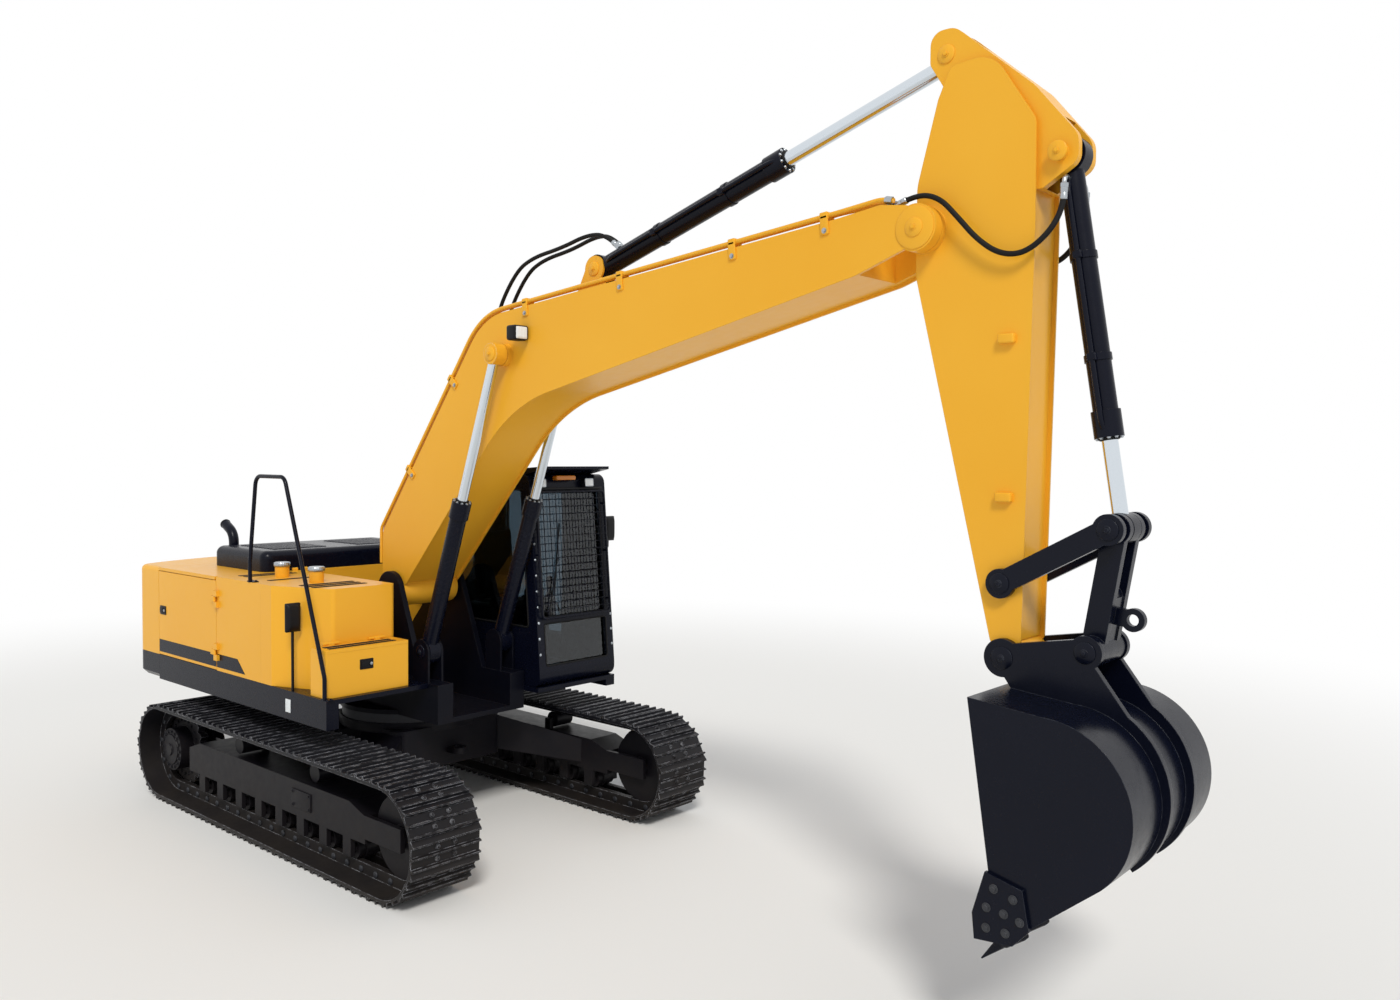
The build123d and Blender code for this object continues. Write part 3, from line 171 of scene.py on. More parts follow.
@dataclass(frozen=True)
class Finish:
    """What every finish has: the material's name, its two tones, and the way that it is built once."""

    name: str
    colour: str
    shade: str

    def material(self) -> bpy.types.Material:
        """Builds the material the first time, and returns it.

        Returns:
            The material.
        """
        if self.name not in bpy.data.materials:
            _, tree, shader = new_material(self.name)
            self.dress(tree, shader, add_node(tree, "ShaderNodeTexCoord").outputs["Object"])
        return bpy.data.materials[self.name]

    def dress(self, tree: bpy.types.NodeTree, shader: bpy.types.Node, place: bpy.types.NodeSocket) -> None:
        """Adds the nodes between Object coordinates and the shader.

        Args:
            tree: the material's node tree.
            shader: its shader node.
            place: output that gives Object coordinates.
        """
        raise NotImplementedError


@dataclass(frozen=True)
class Paint(Finish):
    """Sprayed two-pack enamel on steel plate: even colour, fine orange peel, softened edges.

    Lengths are millimetres. Dust thins out upwards, and edges turn lighter where the edge amount is above 0:
    rubbed bare metal, and on track steel partly a painted highlight.
    """

    roughness: float = 0.28
    coat: float = 0.5
    cloud: float = 900.0
    peel: float = 9.0
    edge: float = 5.0
    dust: float = 0.0
    dust_colour: str = "#8A7A62"
    dust_top: float = 1.2
    edge_wear_and_highlight: float = 0.0
    edge_wear_and_highlight_colour: str = "#8E9096"
    specular: float = 0.5

    def dress(self, tree: bpy.types.NodeTree, shader: bpy.types.Node, place: bpy.types.NodeSocket) -> None:
        """Adds the nodes between Object coordinates and the shader, as Finish says."""
        cloud = add_node(tree, "ShaderNodeTexNoise",
                         {"Vector": place, "Scale": MM / self.cloud, "Detail": 3.0})
        colour = add_node(tree, "ShaderNodeMix", {
            "Factor": cloud.outputs["Fac"], "A": linear(self.colour),
            "B": linear(self.shade)}, data_type="RGBA")
        paint = colour.outputs["Result"]
        speck = add_node(tree, "ShaderNodeTexNoise",
                         {"Vector": place, "Scale": 14.0, "Detail": 6.0, "Roughness": 0.7})
        rounded = add_node(tree, "ShaderNodeBevel", {"Radius": self.edge / MM}, samples=4)
        rough = add_node(tree, "ShaderNodeMapRange", {
            "Value": speck.outputs["Fac"], "From Min": 0.3, "From Max": 0.7,
            "To Min": self.roughness - 0.05, "To Max": self.roughness + 0.06}).outputs["Result"]
        # Lighter edges: rubbed bare metal, and on the track steel also a painted highlight
        if self.edge_wear_and_highlight:
            real = add_node(tree, "ShaderNodeNewGeometry").outputs["Normal"]
            agree = add_node(tree, "ShaderNodeVectorMath", {0: rounded.outputs["Normal"], 1: real},
                             operation="DOT_PRODUCT")
            edge = add_node(tree, "ShaderNodeMapRange", {
                "Value": agree.outputs["Value"], "From Min": 0.985, "From Max": 0.86, "To Max": self.edge_wear_and_highlight})
            patchy = add_node(tree, "ShaderNodeMapRange", {
                "Value": speck.outputs["Fac"], "From Min": 0.42, "From Max": 0.6})
            edge_wear_and_highlight_mask = add_node(tree, "ShaderNodeMath", {0: edge.outputs["Result"], 1: patchy.outputs["Result"]},
                            operation="MULTIPLY")
            paint = add_node(tree, "ShaderNodeMix", {
                "Factor": edge_wear_and_highlight_mask.outputs["Value"], "A": paint, "B": linear(self.edge_wear_and_highlight_colour)},
                data_type="RGBA").outputs["Result"]
        if self.dust:
            height = add_node(tree, "ShaderNodeSeparateXYZ", {"Vector": place})
            low = add_node(tree, "ShaderNodeMapRange", {
                "Value": height.outputs["Z"], "From Min": self.dust_top, "From Max": 0.0,
                "To Max": self.dust})
            patch = add_node(tree, "ShaderNodeTexNoise", {"Vector": place, "Scale": 3.0, "Detail": 9.0,
                                                          "Roughness": 0.65})
            settled = add_node(tree, "ShaderNodeMath", {0: low.outputs["Result"], 1: patch.outputs["Fac"]},
                               operation="MULTIPLY")
            paint = add_node(tree, "ShaderNodeMix", {
                "Factor": settled.outputs["Value"], "A": paint, "B": linear(self.dust_colour)},
                data_type="RGBA").outputs["Result"]
            rough = add_node(tree, "ShaderNodeMath", {0: rough, 1: settled.outputs["Value"]},
                             operation="ADD", use_clamp=True).outputs["Value"]
        peel = add_node(tree, "ShaderNodeTexNoise", {"Vector": place, "Scale": MM / self.peel, "Detail": 1.0})
        bump = add_node(tree, "ShaderNodeBump", {
            "Strength": 0.06, "Distance": 0.001, "Height": peel.outputs["Fac"],
            "Normal": rounded.outputs["Normal"]})
        tree.links.new(paint, shader.inputs["Base Color"])
        tree.links.new(rough, shader.inputs["Roughness"])
        tree.links.new(bump.outputs["Normal"], shader.inputs["Normal"])
        shader.inputs["Specular IOR Level"].default_value = self.specular
        shader.inputs["Coat Weight"].default_value = self.coat
        shader.inputs["Coat Roughness"].default_value = 0.08


@dataclass(frozen=True)
class Metal(Finish):
    """Bare metal, ground or plated: a fine noise gives the tool's marks, with its grain in millimetres."""

    roughness: float
    grain: float = 4.0
    depth: float = 0.03

    def dress(self, tree: bpy.types.NodeTree, shader: bpy.types.Node, place: bpy.types.NodeSocket) -> None:
        """Adds the nodes between Object coordinates and the shader, as Finish says."""
        marks = add_node(tree, "ShaderNodeTexNoise",
                         {"Vector": place, "Scale": MM / self.grain, "Detail": 4.0})
        tone = add_node(tree, "ShaderNodeMix", {
            "Factor": marks.outputs["Fac"], "A": linear(self.colour),
            "B": linear(self.shade)}, data_type="RGBA")
        rough = add_node(tree, "ShaderNodeMapRange", {
            "Value": marks.outputs["Fac"], "From Min": 0.3, "From Max": 0.7,
            "To Min": 0.8 * self.roughness, "To Max": 1.25 * self.roughness})
        bump = add_node(tree, "ShaderNodeBump", {
            "Strength": self.depth, "Distance": 0.001, "Height": marks.outputs["Fac"]})
        tree.links.new(tone.outputs["Result"], shader.inputs["Base Color"])
        tree.links.new(rough.outputs["Result"], shader.inputs["Roughness"])
        tree.links.new(bump.outputs["Normal"], shader.inputs["Normal"])
        shader.inputs["Metallic"].default_value = 1.0


@dataclass(frozen=True)
class Moulded(Finish):
    """Moulded rubber or plastic: a matt skin with a fine grain, in millimetres."""

    roughness: float
    grain: float = 2.5
    depth: float = 0.15
    transmission: float = 0.0
    coat: float = 0.0
    specular: float = 0.2

    def dress(self, tree: bpy.types.NodeTree, shader: bpy.types.Node, place: bpy.types.NodeSocket) -> None:
        """Adds the nodes between Object coordinates and the shader, as Finish says."""
        grain = add_node(tree, "ShaderNodeTexVoronoi", {"Vector": place, "Scale": MM / self.grain})
        cloud = add_node(tree, "ShaderNodeTexNoise", {"Vector": place, "Scale": 9.0, "Detail": 4.0})
        tone = add_node(tree, "ShaderNodeMix", {
            "Factor": cloud.outputs["Fac"], "A": linear(self.colour),
            "B": linear(self.shade)}, data_type="RGBA")
        rough = add_node(tree, "ShaderNodeMapRange", {
            "Value": cloud.outputs["Fac"], "From Min": 0.3, "From Max": 0.7,
            "To Min": 0.9 * self.roughness, "To Max": 1.1 * self.roughness})
        bump = add_node(tree, "ShaderNodeBump", {
            "Strength": self.depth, "Distance": 0.0005, "Height": grain.outputs["Distance"]})
        tree.links.new(tone.outputs["Result"], shader.inputs["Base Color"])
        tree.links.new(rough.outputs["Result"], shader.inputs["Roughness"])
        tree.links.new(bump.outputs["Normal"], shader.inputs["Normal"])
        shader.inputs["Specular IOR Level"].default_value = self.specular
        shader.inputs["Transmission Weight"].default_value = self.transmission
        shader.inputs["Coat Weight"].default_value = self.coat


@dataclass(frozen=True)
class Glass(Finish):
    """Float glass, toughened and tinted: clear, smooth and a little grey, with a faint film of dust."""

    def dress(self, tree: bpy.types.NodeTree, shader: bpy.types.Node, place: bpy.types.NodeSocket) -> None:
        """Adds the nodes between Object coordinates and the shader, as Finish says."""
        film = add_node(tree, "ShaderNodeTexNoise",
                        {"Vector": place, "Scale": 5.0, "Detail": 8.0, "Roughness": 0.6})
        amount = add_node(tree, "ShaderNodeMapRange", {
            "Value": film.outputs["Fac"], "From Min": 0.45, "From Max": 0.8, "To Max": 0.12})
        tone = add_node(tree, "ShaderNodeMix", {
            "Factor": amount.outputs["Result"], "A": linear(self.colour),
            "B": linear(self.shade)}, data_type="RGBA")
        rough = add_node(tree, "ShaderNodeMapRange", {
            "Value": film.outputs["Fac"], "From Min": 0.45, "From Max": 0.8, "To Min": 0.01, "To Max": 0.06})
        tree.links.new(tone.outputs["Result"], shader.inputs["Base Color"])
        tree.links.new(rough.outputs["Result"], shader.inputs["Roughness"])
        shader.inputs["Transmission Weight"].default_value = 1.0
        shader.inputs["IOR"].default_value = 1.5


@dataclass(frozen=True)
class Cloth(Finish):
    """Woven seat cloth: two sets of threads that cross, with a soft sheen. The thread is in millimetres."""

    thread: float = 5.0

    def dress(self, tree: bpy.types.NodeTree, shader: bpy.types.Node, place: bpy.types.NodeSocket) -> None:
        """Adds the nodes between Object coordinates and the shader, as Finish says."""
        scale = MM / self.thread / (2.0 * np.pi)
        warp = add_node(tree, "ShaderNodeTexWave", {"Vector": place, "Scale": scale, "Distortion": 0.4},
                        bands_direction="Y")
        weft = add_node(tree, "ShaderNodeTexWave", {"Vector": place, "Scale": scale, "Distortion": 0.4},
                        bands_direction="DIAGONAL")
        weave = add_node(tree, "ShaderNodeMath", {0: warp.outputs["Fac"], 1: weft.outputs["Fac"]},
                         operation="MULTIPLY")
        tone = add_node(tree, "ShaderNodeMix", {
            "Factor": weave.outputs["Value"], "A": linear(self.shade),
            "B": linear(self.colour)}, data_type="RGBA")
        bump = add_node(tree, "ShaderNodeBump", {
            "Strength": 0.5, "Distance": 0.001, "Height": weave.outputs["Value"]})
        tree.links.new(tone.outputs["Result"], shader.inputs["Base Color"])
        tree.links.new(bump.outputs["Normal"], shader.inputs["Normal"])
        shader.inputs["Roughness"].default_value = 0.9
        shader.inputs["Sheen Weight"].default_value = 0.3


# Amber enamel: the large plates show a slow drift of tone under a soft gloss
AMBER = Paint("two_pack_amber_enamel_sprayed", "#F3B636", "#EDAA27", roughness=0.34, coat=0.06, specular=0.2)
# Black enamel with a blue cast, which is a painted reflection of sky: deep, with a low and even gloss
BLACK = Paint("two_pack_black_enamel_sprayed", "#070A18", "#0B0E1C", roughness=0.26, coat=0.0, specular=0.15)
# The same black low on the machine, with road dust and rubbed edges; its faint blue cast is a painted
# reflection of sky
CHASSIS = Paint("black_chassis_enamel_dusty", "#070914", "#0D0E16", roughness=0.38, coat=0.0, dust=0.08,
                edge_wear_and_highlight=0.2, edge_wear_and_highlight_colour="#5C6068", specular=0.13)
# Digging tools: black enamel rubbed along its edges; its blue cast is a painted reflection of sky
BUCKET_BLACK = Paint("black_enamel_on_wear_plate", "#060915", "#0C1020", roughness=0.24, coat=0.0, edge_wear_and_highlight=0.4,
                     edge_wear_and_highlight_colour="#6A6F7A", edge=6.0, specular=0.17)
# Rolled and hardened track steel: dark scale, bright along the bars' edges, partly rubbed steel and partly a
# painted highlight
TRACK = Paint("rolled_track_steel_black", "#08090F", "#15161D", roughness=0.45, coat=0.0, dust=0.12,
              dust_top=0.95, edge_wear_and_highlight=1.0, edge_wear_and_highlight_colour="#A2A4AB", edge=9.0, cloud=250.0, specular=0.2)
# Shot-blasted steel castings: a dull, even grey grain
CAST = Paint("cast_steel_shot_blasted", "#1E2026", "#2C2E34", roughness=0.55, coat=0.0, peel=4.0, edge_wear_and_highlight=0.3)
# Ground hard chrome: a bright, nearly clear mirror
CHROME = Metal("hard_chrome_ground_and_plated", "#DDE3E8", "#C9D2DA", 0.12)
# Zinc plate: bright, with a soft and slightly cloudy shine
ZINC = Metal("zinc_plated_steel_bright", "#B9BEC2", "#9CA2A8", 0.28)
# Silvered glass: a clear mirror
MIRROR = Metal("silvered_mirror_glass", "#E8EEF0", "#DFE7EA", 0.02, depth=0.0)
# Tinted float glass: grey, and clear to the cab's inside
WINDOW = Glass("tinted_toughened_float_glass", "#77858E", "#B9C0C2")
# Extruded rubber: black and matt
RUBBER = Moulded("extruded_black_rubber", "#0B0B0C", "#141414", 0.6)
# Moulded plastic: black, with a low sheen on a fine grain
PLASTIC = Moulded("moulded_black_abs", "#0A0A0D", "#121215", 0.45)
# Clear lens: white, with a wet skin
LENS = Moulded("clear_moulded_polycarbonate_lens", "#F6FBFD", "#E6ECEF", 0.12, 6.0, 0.1, 0.1, 0.5)
# Amber lens: orange right through, with a wet skin
AMBER_LENS = Moulded("amber_moulded_polycarbonate_lens", "#E08A1C", "#C97411", 0.15, 6.0, 0.1, 0.2, 0.5)
# Grit-faced tape: coarse sand in a black binder
GRIT = Moulded("grit_faced_non_slip_tape", "#17181A", "#26272A", 0.9, 3.0, 0.6)
# Soot in the pipe's mouth, and painted shade in place of its bore: black with no shine
SOOT_AND_PAINTED_SHADE = Moulded("soot_and_painted_shade_pipe_mouth", "#050505", "#0B0A09", 0.8, 4.0, 0.2)
# Woven cloth: dark grey, with threads drawn coarse enough to show
CLOTH = Cloth("woven_polyester_seat_cloth", "#2B2D33", "#15161A")

NODE_FINISHES = {
    AMBER: ("boom", "arm", "counterweight", "hydraulic_tank", "fuel_tank", "pump_door",
            "cooler_door", "engine_housing", "tool_box", "tool_box_lid", "filler_caps"),
    BLACK: ("engine_hood", "cab_shell", "cab_door", "cab_visor", "exhaust_pipe", "handrail",
            "crowd_barrel", "curl_barrel", "lift_left_barrel", "lift_right_barrel",
            "counterweight_base", "side_decks"),
    BUCKET_BLACK: ("bucket", "bucket_link", "rocker", "bucket_teeth"),
    CHASSIS: ("main_frame", "carbody", "track_frame_left", "track_frame_right", "idler_left",
              "idler_right", "rollers_left", "rollers_right", "travel_drives"),
    TRACK: ("track_left", "track_right", "sprocket_left", "sprocket_right"),
    CAST: ("swing_bearing", "engine_block"),
    CHROME: ("crowd_rod", "curl_rod", "lift_left_rod", "lift_right_rod"),
    WINDOW: ("cab_glazing", "door_glass"),
    CLOTH: ("operator_seat",),
}


@dataclass
class Shape:
    """Points and four-cornered faces of a piece before it becomes a mesh."""

    points: Array
    faces: Array

    def moved(self, places: Array, turn: Array | None = None) -> "Shape":
        """Repeats the shape at each place: point = turn x own point + place.

        Args:
            places: rows of x, y, z.
            turn: one 3 x 3 matrix for all, or one for each place.

        Returns:
            All the copies as one shape.
        """
        places = np.atleast_2d(np.asarray(places, float))
        turn = np.eye(3) if turn is None else np.asarray(turn, float)
        turned = np.einsum("...ij,nj->...ni", turn, self.points)
        points = np.broadcast_to(turned, (len(places), *self.points.shape)) + places[:, None, :]
        steps = np.arange(len(places))[:, None, None] * len(self.points)
        return Shape(points.reshape(-1, 3), (self.faces[None] + steps).reshape(-1, 4))

    @staticmethod
    def joined(shapes: list["Shape"]) -> "Shape":
        """Puts shapes together as one, with each one's corner numbers moved past those before it.

        Args:
            shapes: the shapes, in order.

        Returns:
            One shape.
        """
        starts = np.cumsum([0] + [len(shape.points) for shape in shapes[:-1]])
        return Shape(np.concatenate([shape.points for shape in shapes]),
                     np.concatenate([shape.faces + start for shape, start in zip(shapes, starts)]))


def round_angles(count: int) -> Array:
    """Angles in radians, evenly round a full turn."""
    return np.linspace(0.0, 2.0 * np.pi, count, endpoint=False)


def filled(wave: Array, power: float) -> Array:
    """Wave whose shoulders are filled out: sign(w) |w|^p."""
    return np.sign(wave) * np.abs(wave) ** power


def eased(before: Array, corner: Array, after: Array, t: Array) -> Array:
    """Bend at a corner: (1-t)^2 a + 2t(1-t) c + t^2 b."""
    return (1 - t) ** 2 * before + 2 * t * (1 - t) * corner + t**2 * after


def capped(rings: Array, middles: Array) -> Array:
    """Rings with a closed end on both sides: the first and last middles, each repeated as a ring.

    Args:
        rings: rows of points round each middle.
        middles: middle of each ring.

    Returns:
        The rings, with one more at each end.
    """
    ends = [np.repeat(middles[place][None, None], rings.shape[1], axis=1) for place in (0, -1)]
    return np.concatenate([ends[0], rings, ends[1]])


def rectangle(width: float, height: float, rise: float = 0.0) -> Array:
    """Corners of a rectangle about the origin, in order.

    Args:
        width: length along x.
        height: length along y.
        rise: z of all corners.

    Returns:
        Rows of x, y, z.
    """
    corners = np.array([[-1.0, -1.0], [1.0, -1.0], [1.0, 1.0], [-1.0, 1.0]]) * (width / 2, height / 2)
    return np.insert(corners, 2, rise, axis=1)


def grid_faces(rows: int, columns: int, round_columns: bool) -> Array:
    """Corner numbers of the faces of a grid of points.

    Args:
        rows: points along the first parameter.
        columns: points along the second parameter.
        round_columns: whether the last column joins the first.

    Returns:
        Rows of four corner numbers.
    """
    numbers = np.arange(rows * columns).reshape(rows, columns)
    if round_columns:
        numbers = np.concatenate([numbers, numbers[:, :1]], axis=1)
    return np.stack([numbers[:-1, :-1], numbers[:-1, 1:], numbers[1:, 1:], numbers[1:, :-1]],
                    axis=-1).reshape(-1, 4)


def turned_shape(profile: list[tuple[float, float]], segments: int = 24) -> Shape:
    """Surface of revolution about Z: (r(u) cos v, r(u) sin v, z(u)).

    Args:
        profile: radius and height, from the bottom up; a radius of 0 closes an end.
        segments: points round the axis.

    Returns:
        The shape.
    """
    radius, height = np.array(profile, float).T
    angle = round_angles(segments)
    grid = np.stack([radius[:, None] * np.cos(angle), radius[:, None] * np.sin(angle),
                     np.repeat(height[:, None], segments, axis=1)], axis=-1)
    return Shape(grid.reshape(-1, 3), grid_faces(len(radius), segments, True))


def tube_shape(path: Array, radius: float, segments: int = 12) -> Shape:
    """Circle carried along a path: p(u) + r (cos v n(u) + sin v b(u)), with n and b square to the path.

    Args:
        path: rows of x, y, z.
        radius: the tube's radius.
        segments: points round it.

    Returns:
        The shape, its ends closed by a point.
    """
    path = np.asarray(path, float)
    tangent = np.gradient(path, axis=0)
    tangent /= np.linalg.norm(tangent, axis=1, keepdims=True)
    spread = np.ptp(path, axis=0)
    reference = np.eye(3)[int(np.argmin(spread))]
    normal = np.cross(tangent, reference)
    normal /= np.linalg.norm(normal, axis=1, keepdims=True)
    side = np.cross(tangent, normal)
    angle = round_angles(segments)
    ring = np.cos(angle)[None, :, None] * normal[:, None] + np.sin(angle)[None, :, None] * side[:, None]
    grid = capped(path[:, None] + radius * ring, path)
    return Shape(grid.reshape(-1, 3), grid_faces(len(grid), segments, True)[:, ::-1])


def rounded_block(size: Point, radius: float, steps: int = 4) -> Shape:
    """Box with rounded edges: corner centre + radius x direction, over the angles of each eighth of a ball.

    Args:
        size: full lengths along x, y and z.
        radius: the edges' radius.
        steps: faces across a rounded edge.

    Returns:
        The shape, centred on the origin.
    """
    quarter = np.linspace(0.0, np.pi / 2, steps + 1)
    across = np.concatenate([quarter + turn * np.pi / 2 for turn in range(4)])
    up = np.concatenate([quarter - np.pi / 2, quarter])
    sign_x = np.repeat([1.0, -1.0, -1.0, 1.0], steps + 1)
    sign_y = np.repeat([1.0, 1.0, -1.0, -1.0], steps + 1)
    sign_z = np.repeat([-1.0, 1.0], steps + 1)
    half = np.array(size) / 2 - radius
    x = half[0] * sign_x[None] + radius * np.cos(up)[:, None] * np.cos(across)[None]
    y = half[1] * sign_y[None] + radius * np.cos(up)[:, None] * np.sin(across)[None]
    z = np.repeat((half[2] * sign_z + radius * np.sin(up))[:, None], len(across), axis=1)
    grid = np.stack([x, y, z], axis=-1)
    rows, columns = grid.shape[:2]
    corner = np.arange(4) * (steps + 1)
    caps = np.array([corner[::-1], corner + (rows - 1) * columns])
    return Shape(grid.reshape(-1, 3), np.concatenate([grid_faces(rows, columns, True), caps]))


def turn_to(axis: Point) -> Array:
    """Matrix that turns +Z onto an axis: its columns are two directions square to the axis, then the axis.

    Args:
        axis: direction that +Z takes.

    Returns:
        A 3 x 3 matrix.
    """
    direction = np.array(axis, float) / np.linalg.norm(axis)
    helper = np.eye(3)[int(np.argmin(np.abs(direction)))]
    first = np.cross(helper, direction)
    first /= np.linalg.norm(first)
    return np.stack([first, np.cross(direction, first), direction], axis=1)


def bolt_shape(size: float) -> Shape:
    """Hexagon bolt on its washer, standing on Z = 0: two turned profiles, the head's with six sides.

    Args:
        size: half the head's width across its corners.

    Returns:
        The shape.
    """
    washer = turned_shape([(0.0, 0.0), (1.5 * size, 0.0), (1.5 * size, 0.22 * size), (0.0, 0.22 * size)], 12)
    head = turned_shape([(size, 0.2 * size), (size, 0.8 * size), (0.85 * size, 0.95 * size),
                         (0.0, 0.95 * size)], 6)
    return Shape.joined([washer, head])


def loop_tube(path: Array, radius: float, segments: int = 8) -> Shape:
    """Circle carried round a closed flat path: p(u) + r (cos v m + sin v t(u) x m), m square to its plane.

    Args:
        path: rows of x, y, z, once round.
        radius: the tube's radius.
        segments: points round the tube.

    Returns:
        The shape.
    """
    tangent = np.roll(path, -1, axis=0) - np.roll(path, 1, axis=0)
    tangent /= np.linalg.norm(tangent, axis=1, keepdims=True)
    square = np.linalg.svd(path - path.mean(axis=0))[2][2]
    side = np.cross(tangent, square)
    angle = round_angles(segments)
    ring = np.cos(angle)[None, :, None] * square + np.sin(angle)[None, :, None] * side[:, None]
    grid = path[:, None] + radius * ring
    grid = np.concatenate([grid, grid[:1]])
    return Shape(grid.reshape(-1, 3), grid_faces(len(grid), segments, True))


def bent_path(points: list[Point], count: int = 40) -> Array:
    """Smooth line through a few points: a cubic curve on each stretch, sampled evenly.

    Args:
        points: the points that it passes.
        count: rows to return.

    Returns:
        Rows of x, y, z.
    """
    given = np.array(points, float)
    padded = np.concatenate([2 * given[:1] - given[1:2], given, 2 * given[-1:] - given[-2:-1]])
    where = np.linspace(0.0, len(given) - 1.0, count)
    start = np.minimum(where.astype(int), len(given) - 2)
    t = (where - start)[:, None]
    a, b, c, d = (padded[start + step] for step in range(4))
    return 0.5 * (2 * b + (c - a) * t + (2 * a - 5 * b + 4 * c - d) * t**2 + (3 * b - a - 3 * c + d) * t**3)


def circle_places(centre: Point, radius: float, count: int, axis: Point) -> Array:
    """Points evenly round an axis: centre + r (cos a n + sin a b).

    Args:
        centre: middle of the circle.
        radius: its radius.
        count: points on it.
        axis: direction square to it.

    Returns:
        Rows of x, y, z.
    """
    frame = turn_to(axis)
    angle = round_angles(count)
    outward = np.cos(angle)[:, None] * frame[:, 0] + np.sin(angle)[:, None] * frame[:, 1]
    return np.array(centre) + radius * outward


def soft_loop(corners: Array, reach: float, steps: int = 6) -> Array:
    """Closed polygon with eased corners: at each, a bend from a on one side to b on the other.

    Args:
        corners: rows of x, y, z.
        reach: distance of a and b from the corner c.
        steps: points at each corner.

    Returns:
        Rows of x, y, z, once round.
    """
    to_last = np.roll(corners, 1, axis=0) - corners
    to_next = np.roll(corners, -1, axis=0) - corners
    before = corners + reach * to_last / np.linalg.norm(to_last, axis=1, keepdims=True)
    after = corners + reach * to_next / np.linalg.norm(to_next, axis=1, keepdims=True)
    t = np.linspace(0.0, 1.0, steps)[None, :, None]
    return eased(before[:, None], corners[:, None], after[:, None], t).reshape(-1, 3)


def eased_path(points: list[Point] | Array, reach: float) -> Array:
    """Open line with eased corners: its ends stay, and each corner between them is eased as in a soft loop.

    Args:
        points: the corners in order.
        reach: distance from a corner at which the easing starts.

    Returns:
        Rows of x, y, z.
    """
    corners = np.array(points, float)
    middle = soft_loop(corners, reach, 8).reshape(len(corners), 8, 3)[1:-1].reshape(-1, 3)
    return np.concatenate([corners[:1], middle, corners[-1:]])


def plate_shape(outline: list[tuple[float, float]], near: float, far: float) -> Shape:
    """Flat plate: an outline of x and z carried from one y to another, with a fan of faces on each side.

    Args:
        outline: corners in order, without hollows.
        near: y of one side.
        far: y of the other side.

    Returns:
        The shape.
    """
    ring = np.array(outline, float)
    middle = np.broadcast_to(ring.mean(axis=0), ring.shape)
    rows = ((middle, near), (ring, near), (ring, far), (middle, far))
    grid = np.stack([np.insert(flat, 1, y, axis=1) for flat, y in rows])
    return Shape(grid.reshape(-1, 3), grid_faces(4, len(ring), True))


def lens_shape(width: float, height: float, depth: float, ribs: int) -> Shape:
    """Bulged pane: z = depth (1 - u^6)(1 - v^6) plus ribs along v, with a flat back that meets its edge.

    Args:
        width: full length along x.
        height: full length along y.
        depth: height of the bulge.
        ribs: ribs across the width; 0 leaves it smooth.

    Returns:
        The shape, standing on Z = 0.
    """
    columns, rows = 49, 25
    u, v = np.meshgrid(np.linspace(-1.0, 1.0, columns), np.linspace(-1.0, 1.0, rows), indexing="ij")
    edge = (1 - u**6) * (1 - v**6)
    z = depth * edge * (0.85 + 0.15 * np.cos(np.pi * ribs * (u + 1)))
    front = np.stack([u * width / 2, v * height / 2, z], axis=-1).reshape(-1, 3)
    back = front * np.array([1.0, 1.0, 0.0])
    faces = grid_faces(columns, rows, False)
    return Shape.joined([Shape(front, faces), Shape(back, faces[:, ::-1])])


def smooth_line(name: str, route: Array) -> Array:
    """Points of the smooth NURBS line whose control points are a route.

    Args:
        name: the line's name.
        route: rows of x, y, z.

    Returns:
        Rows of x, y, z along the line.
    """
    curve = bpy.data.curves.new(name, "CURVE")
    curve.dimensions = "3D"
    curve.resolution_u = 14
    line = curve.splines.new("NURBS")
    line.points.add(len(route) - 1)
    line.points.foreach_set("co", np.concatenate([route, np.ones((len(route), 1))], axis=1).ravel())
    line.order_u = 3
    line.use_endpoint_u = True
    holder = bpy.data.objects.new(name, curve)
    bpy.context.scene.collection.objects.link(holder)
    mesh = bpy.data.meshes.new_from_object(holder)
    points = np.empty(3 * len(mesh.vertices))
    mesh.vertices.foreach_get("co", points)
    bpy.data.objects.remove(holder)
    bpy.data.meshes.remove(mesh)
    return points.reshape(-1, 3)


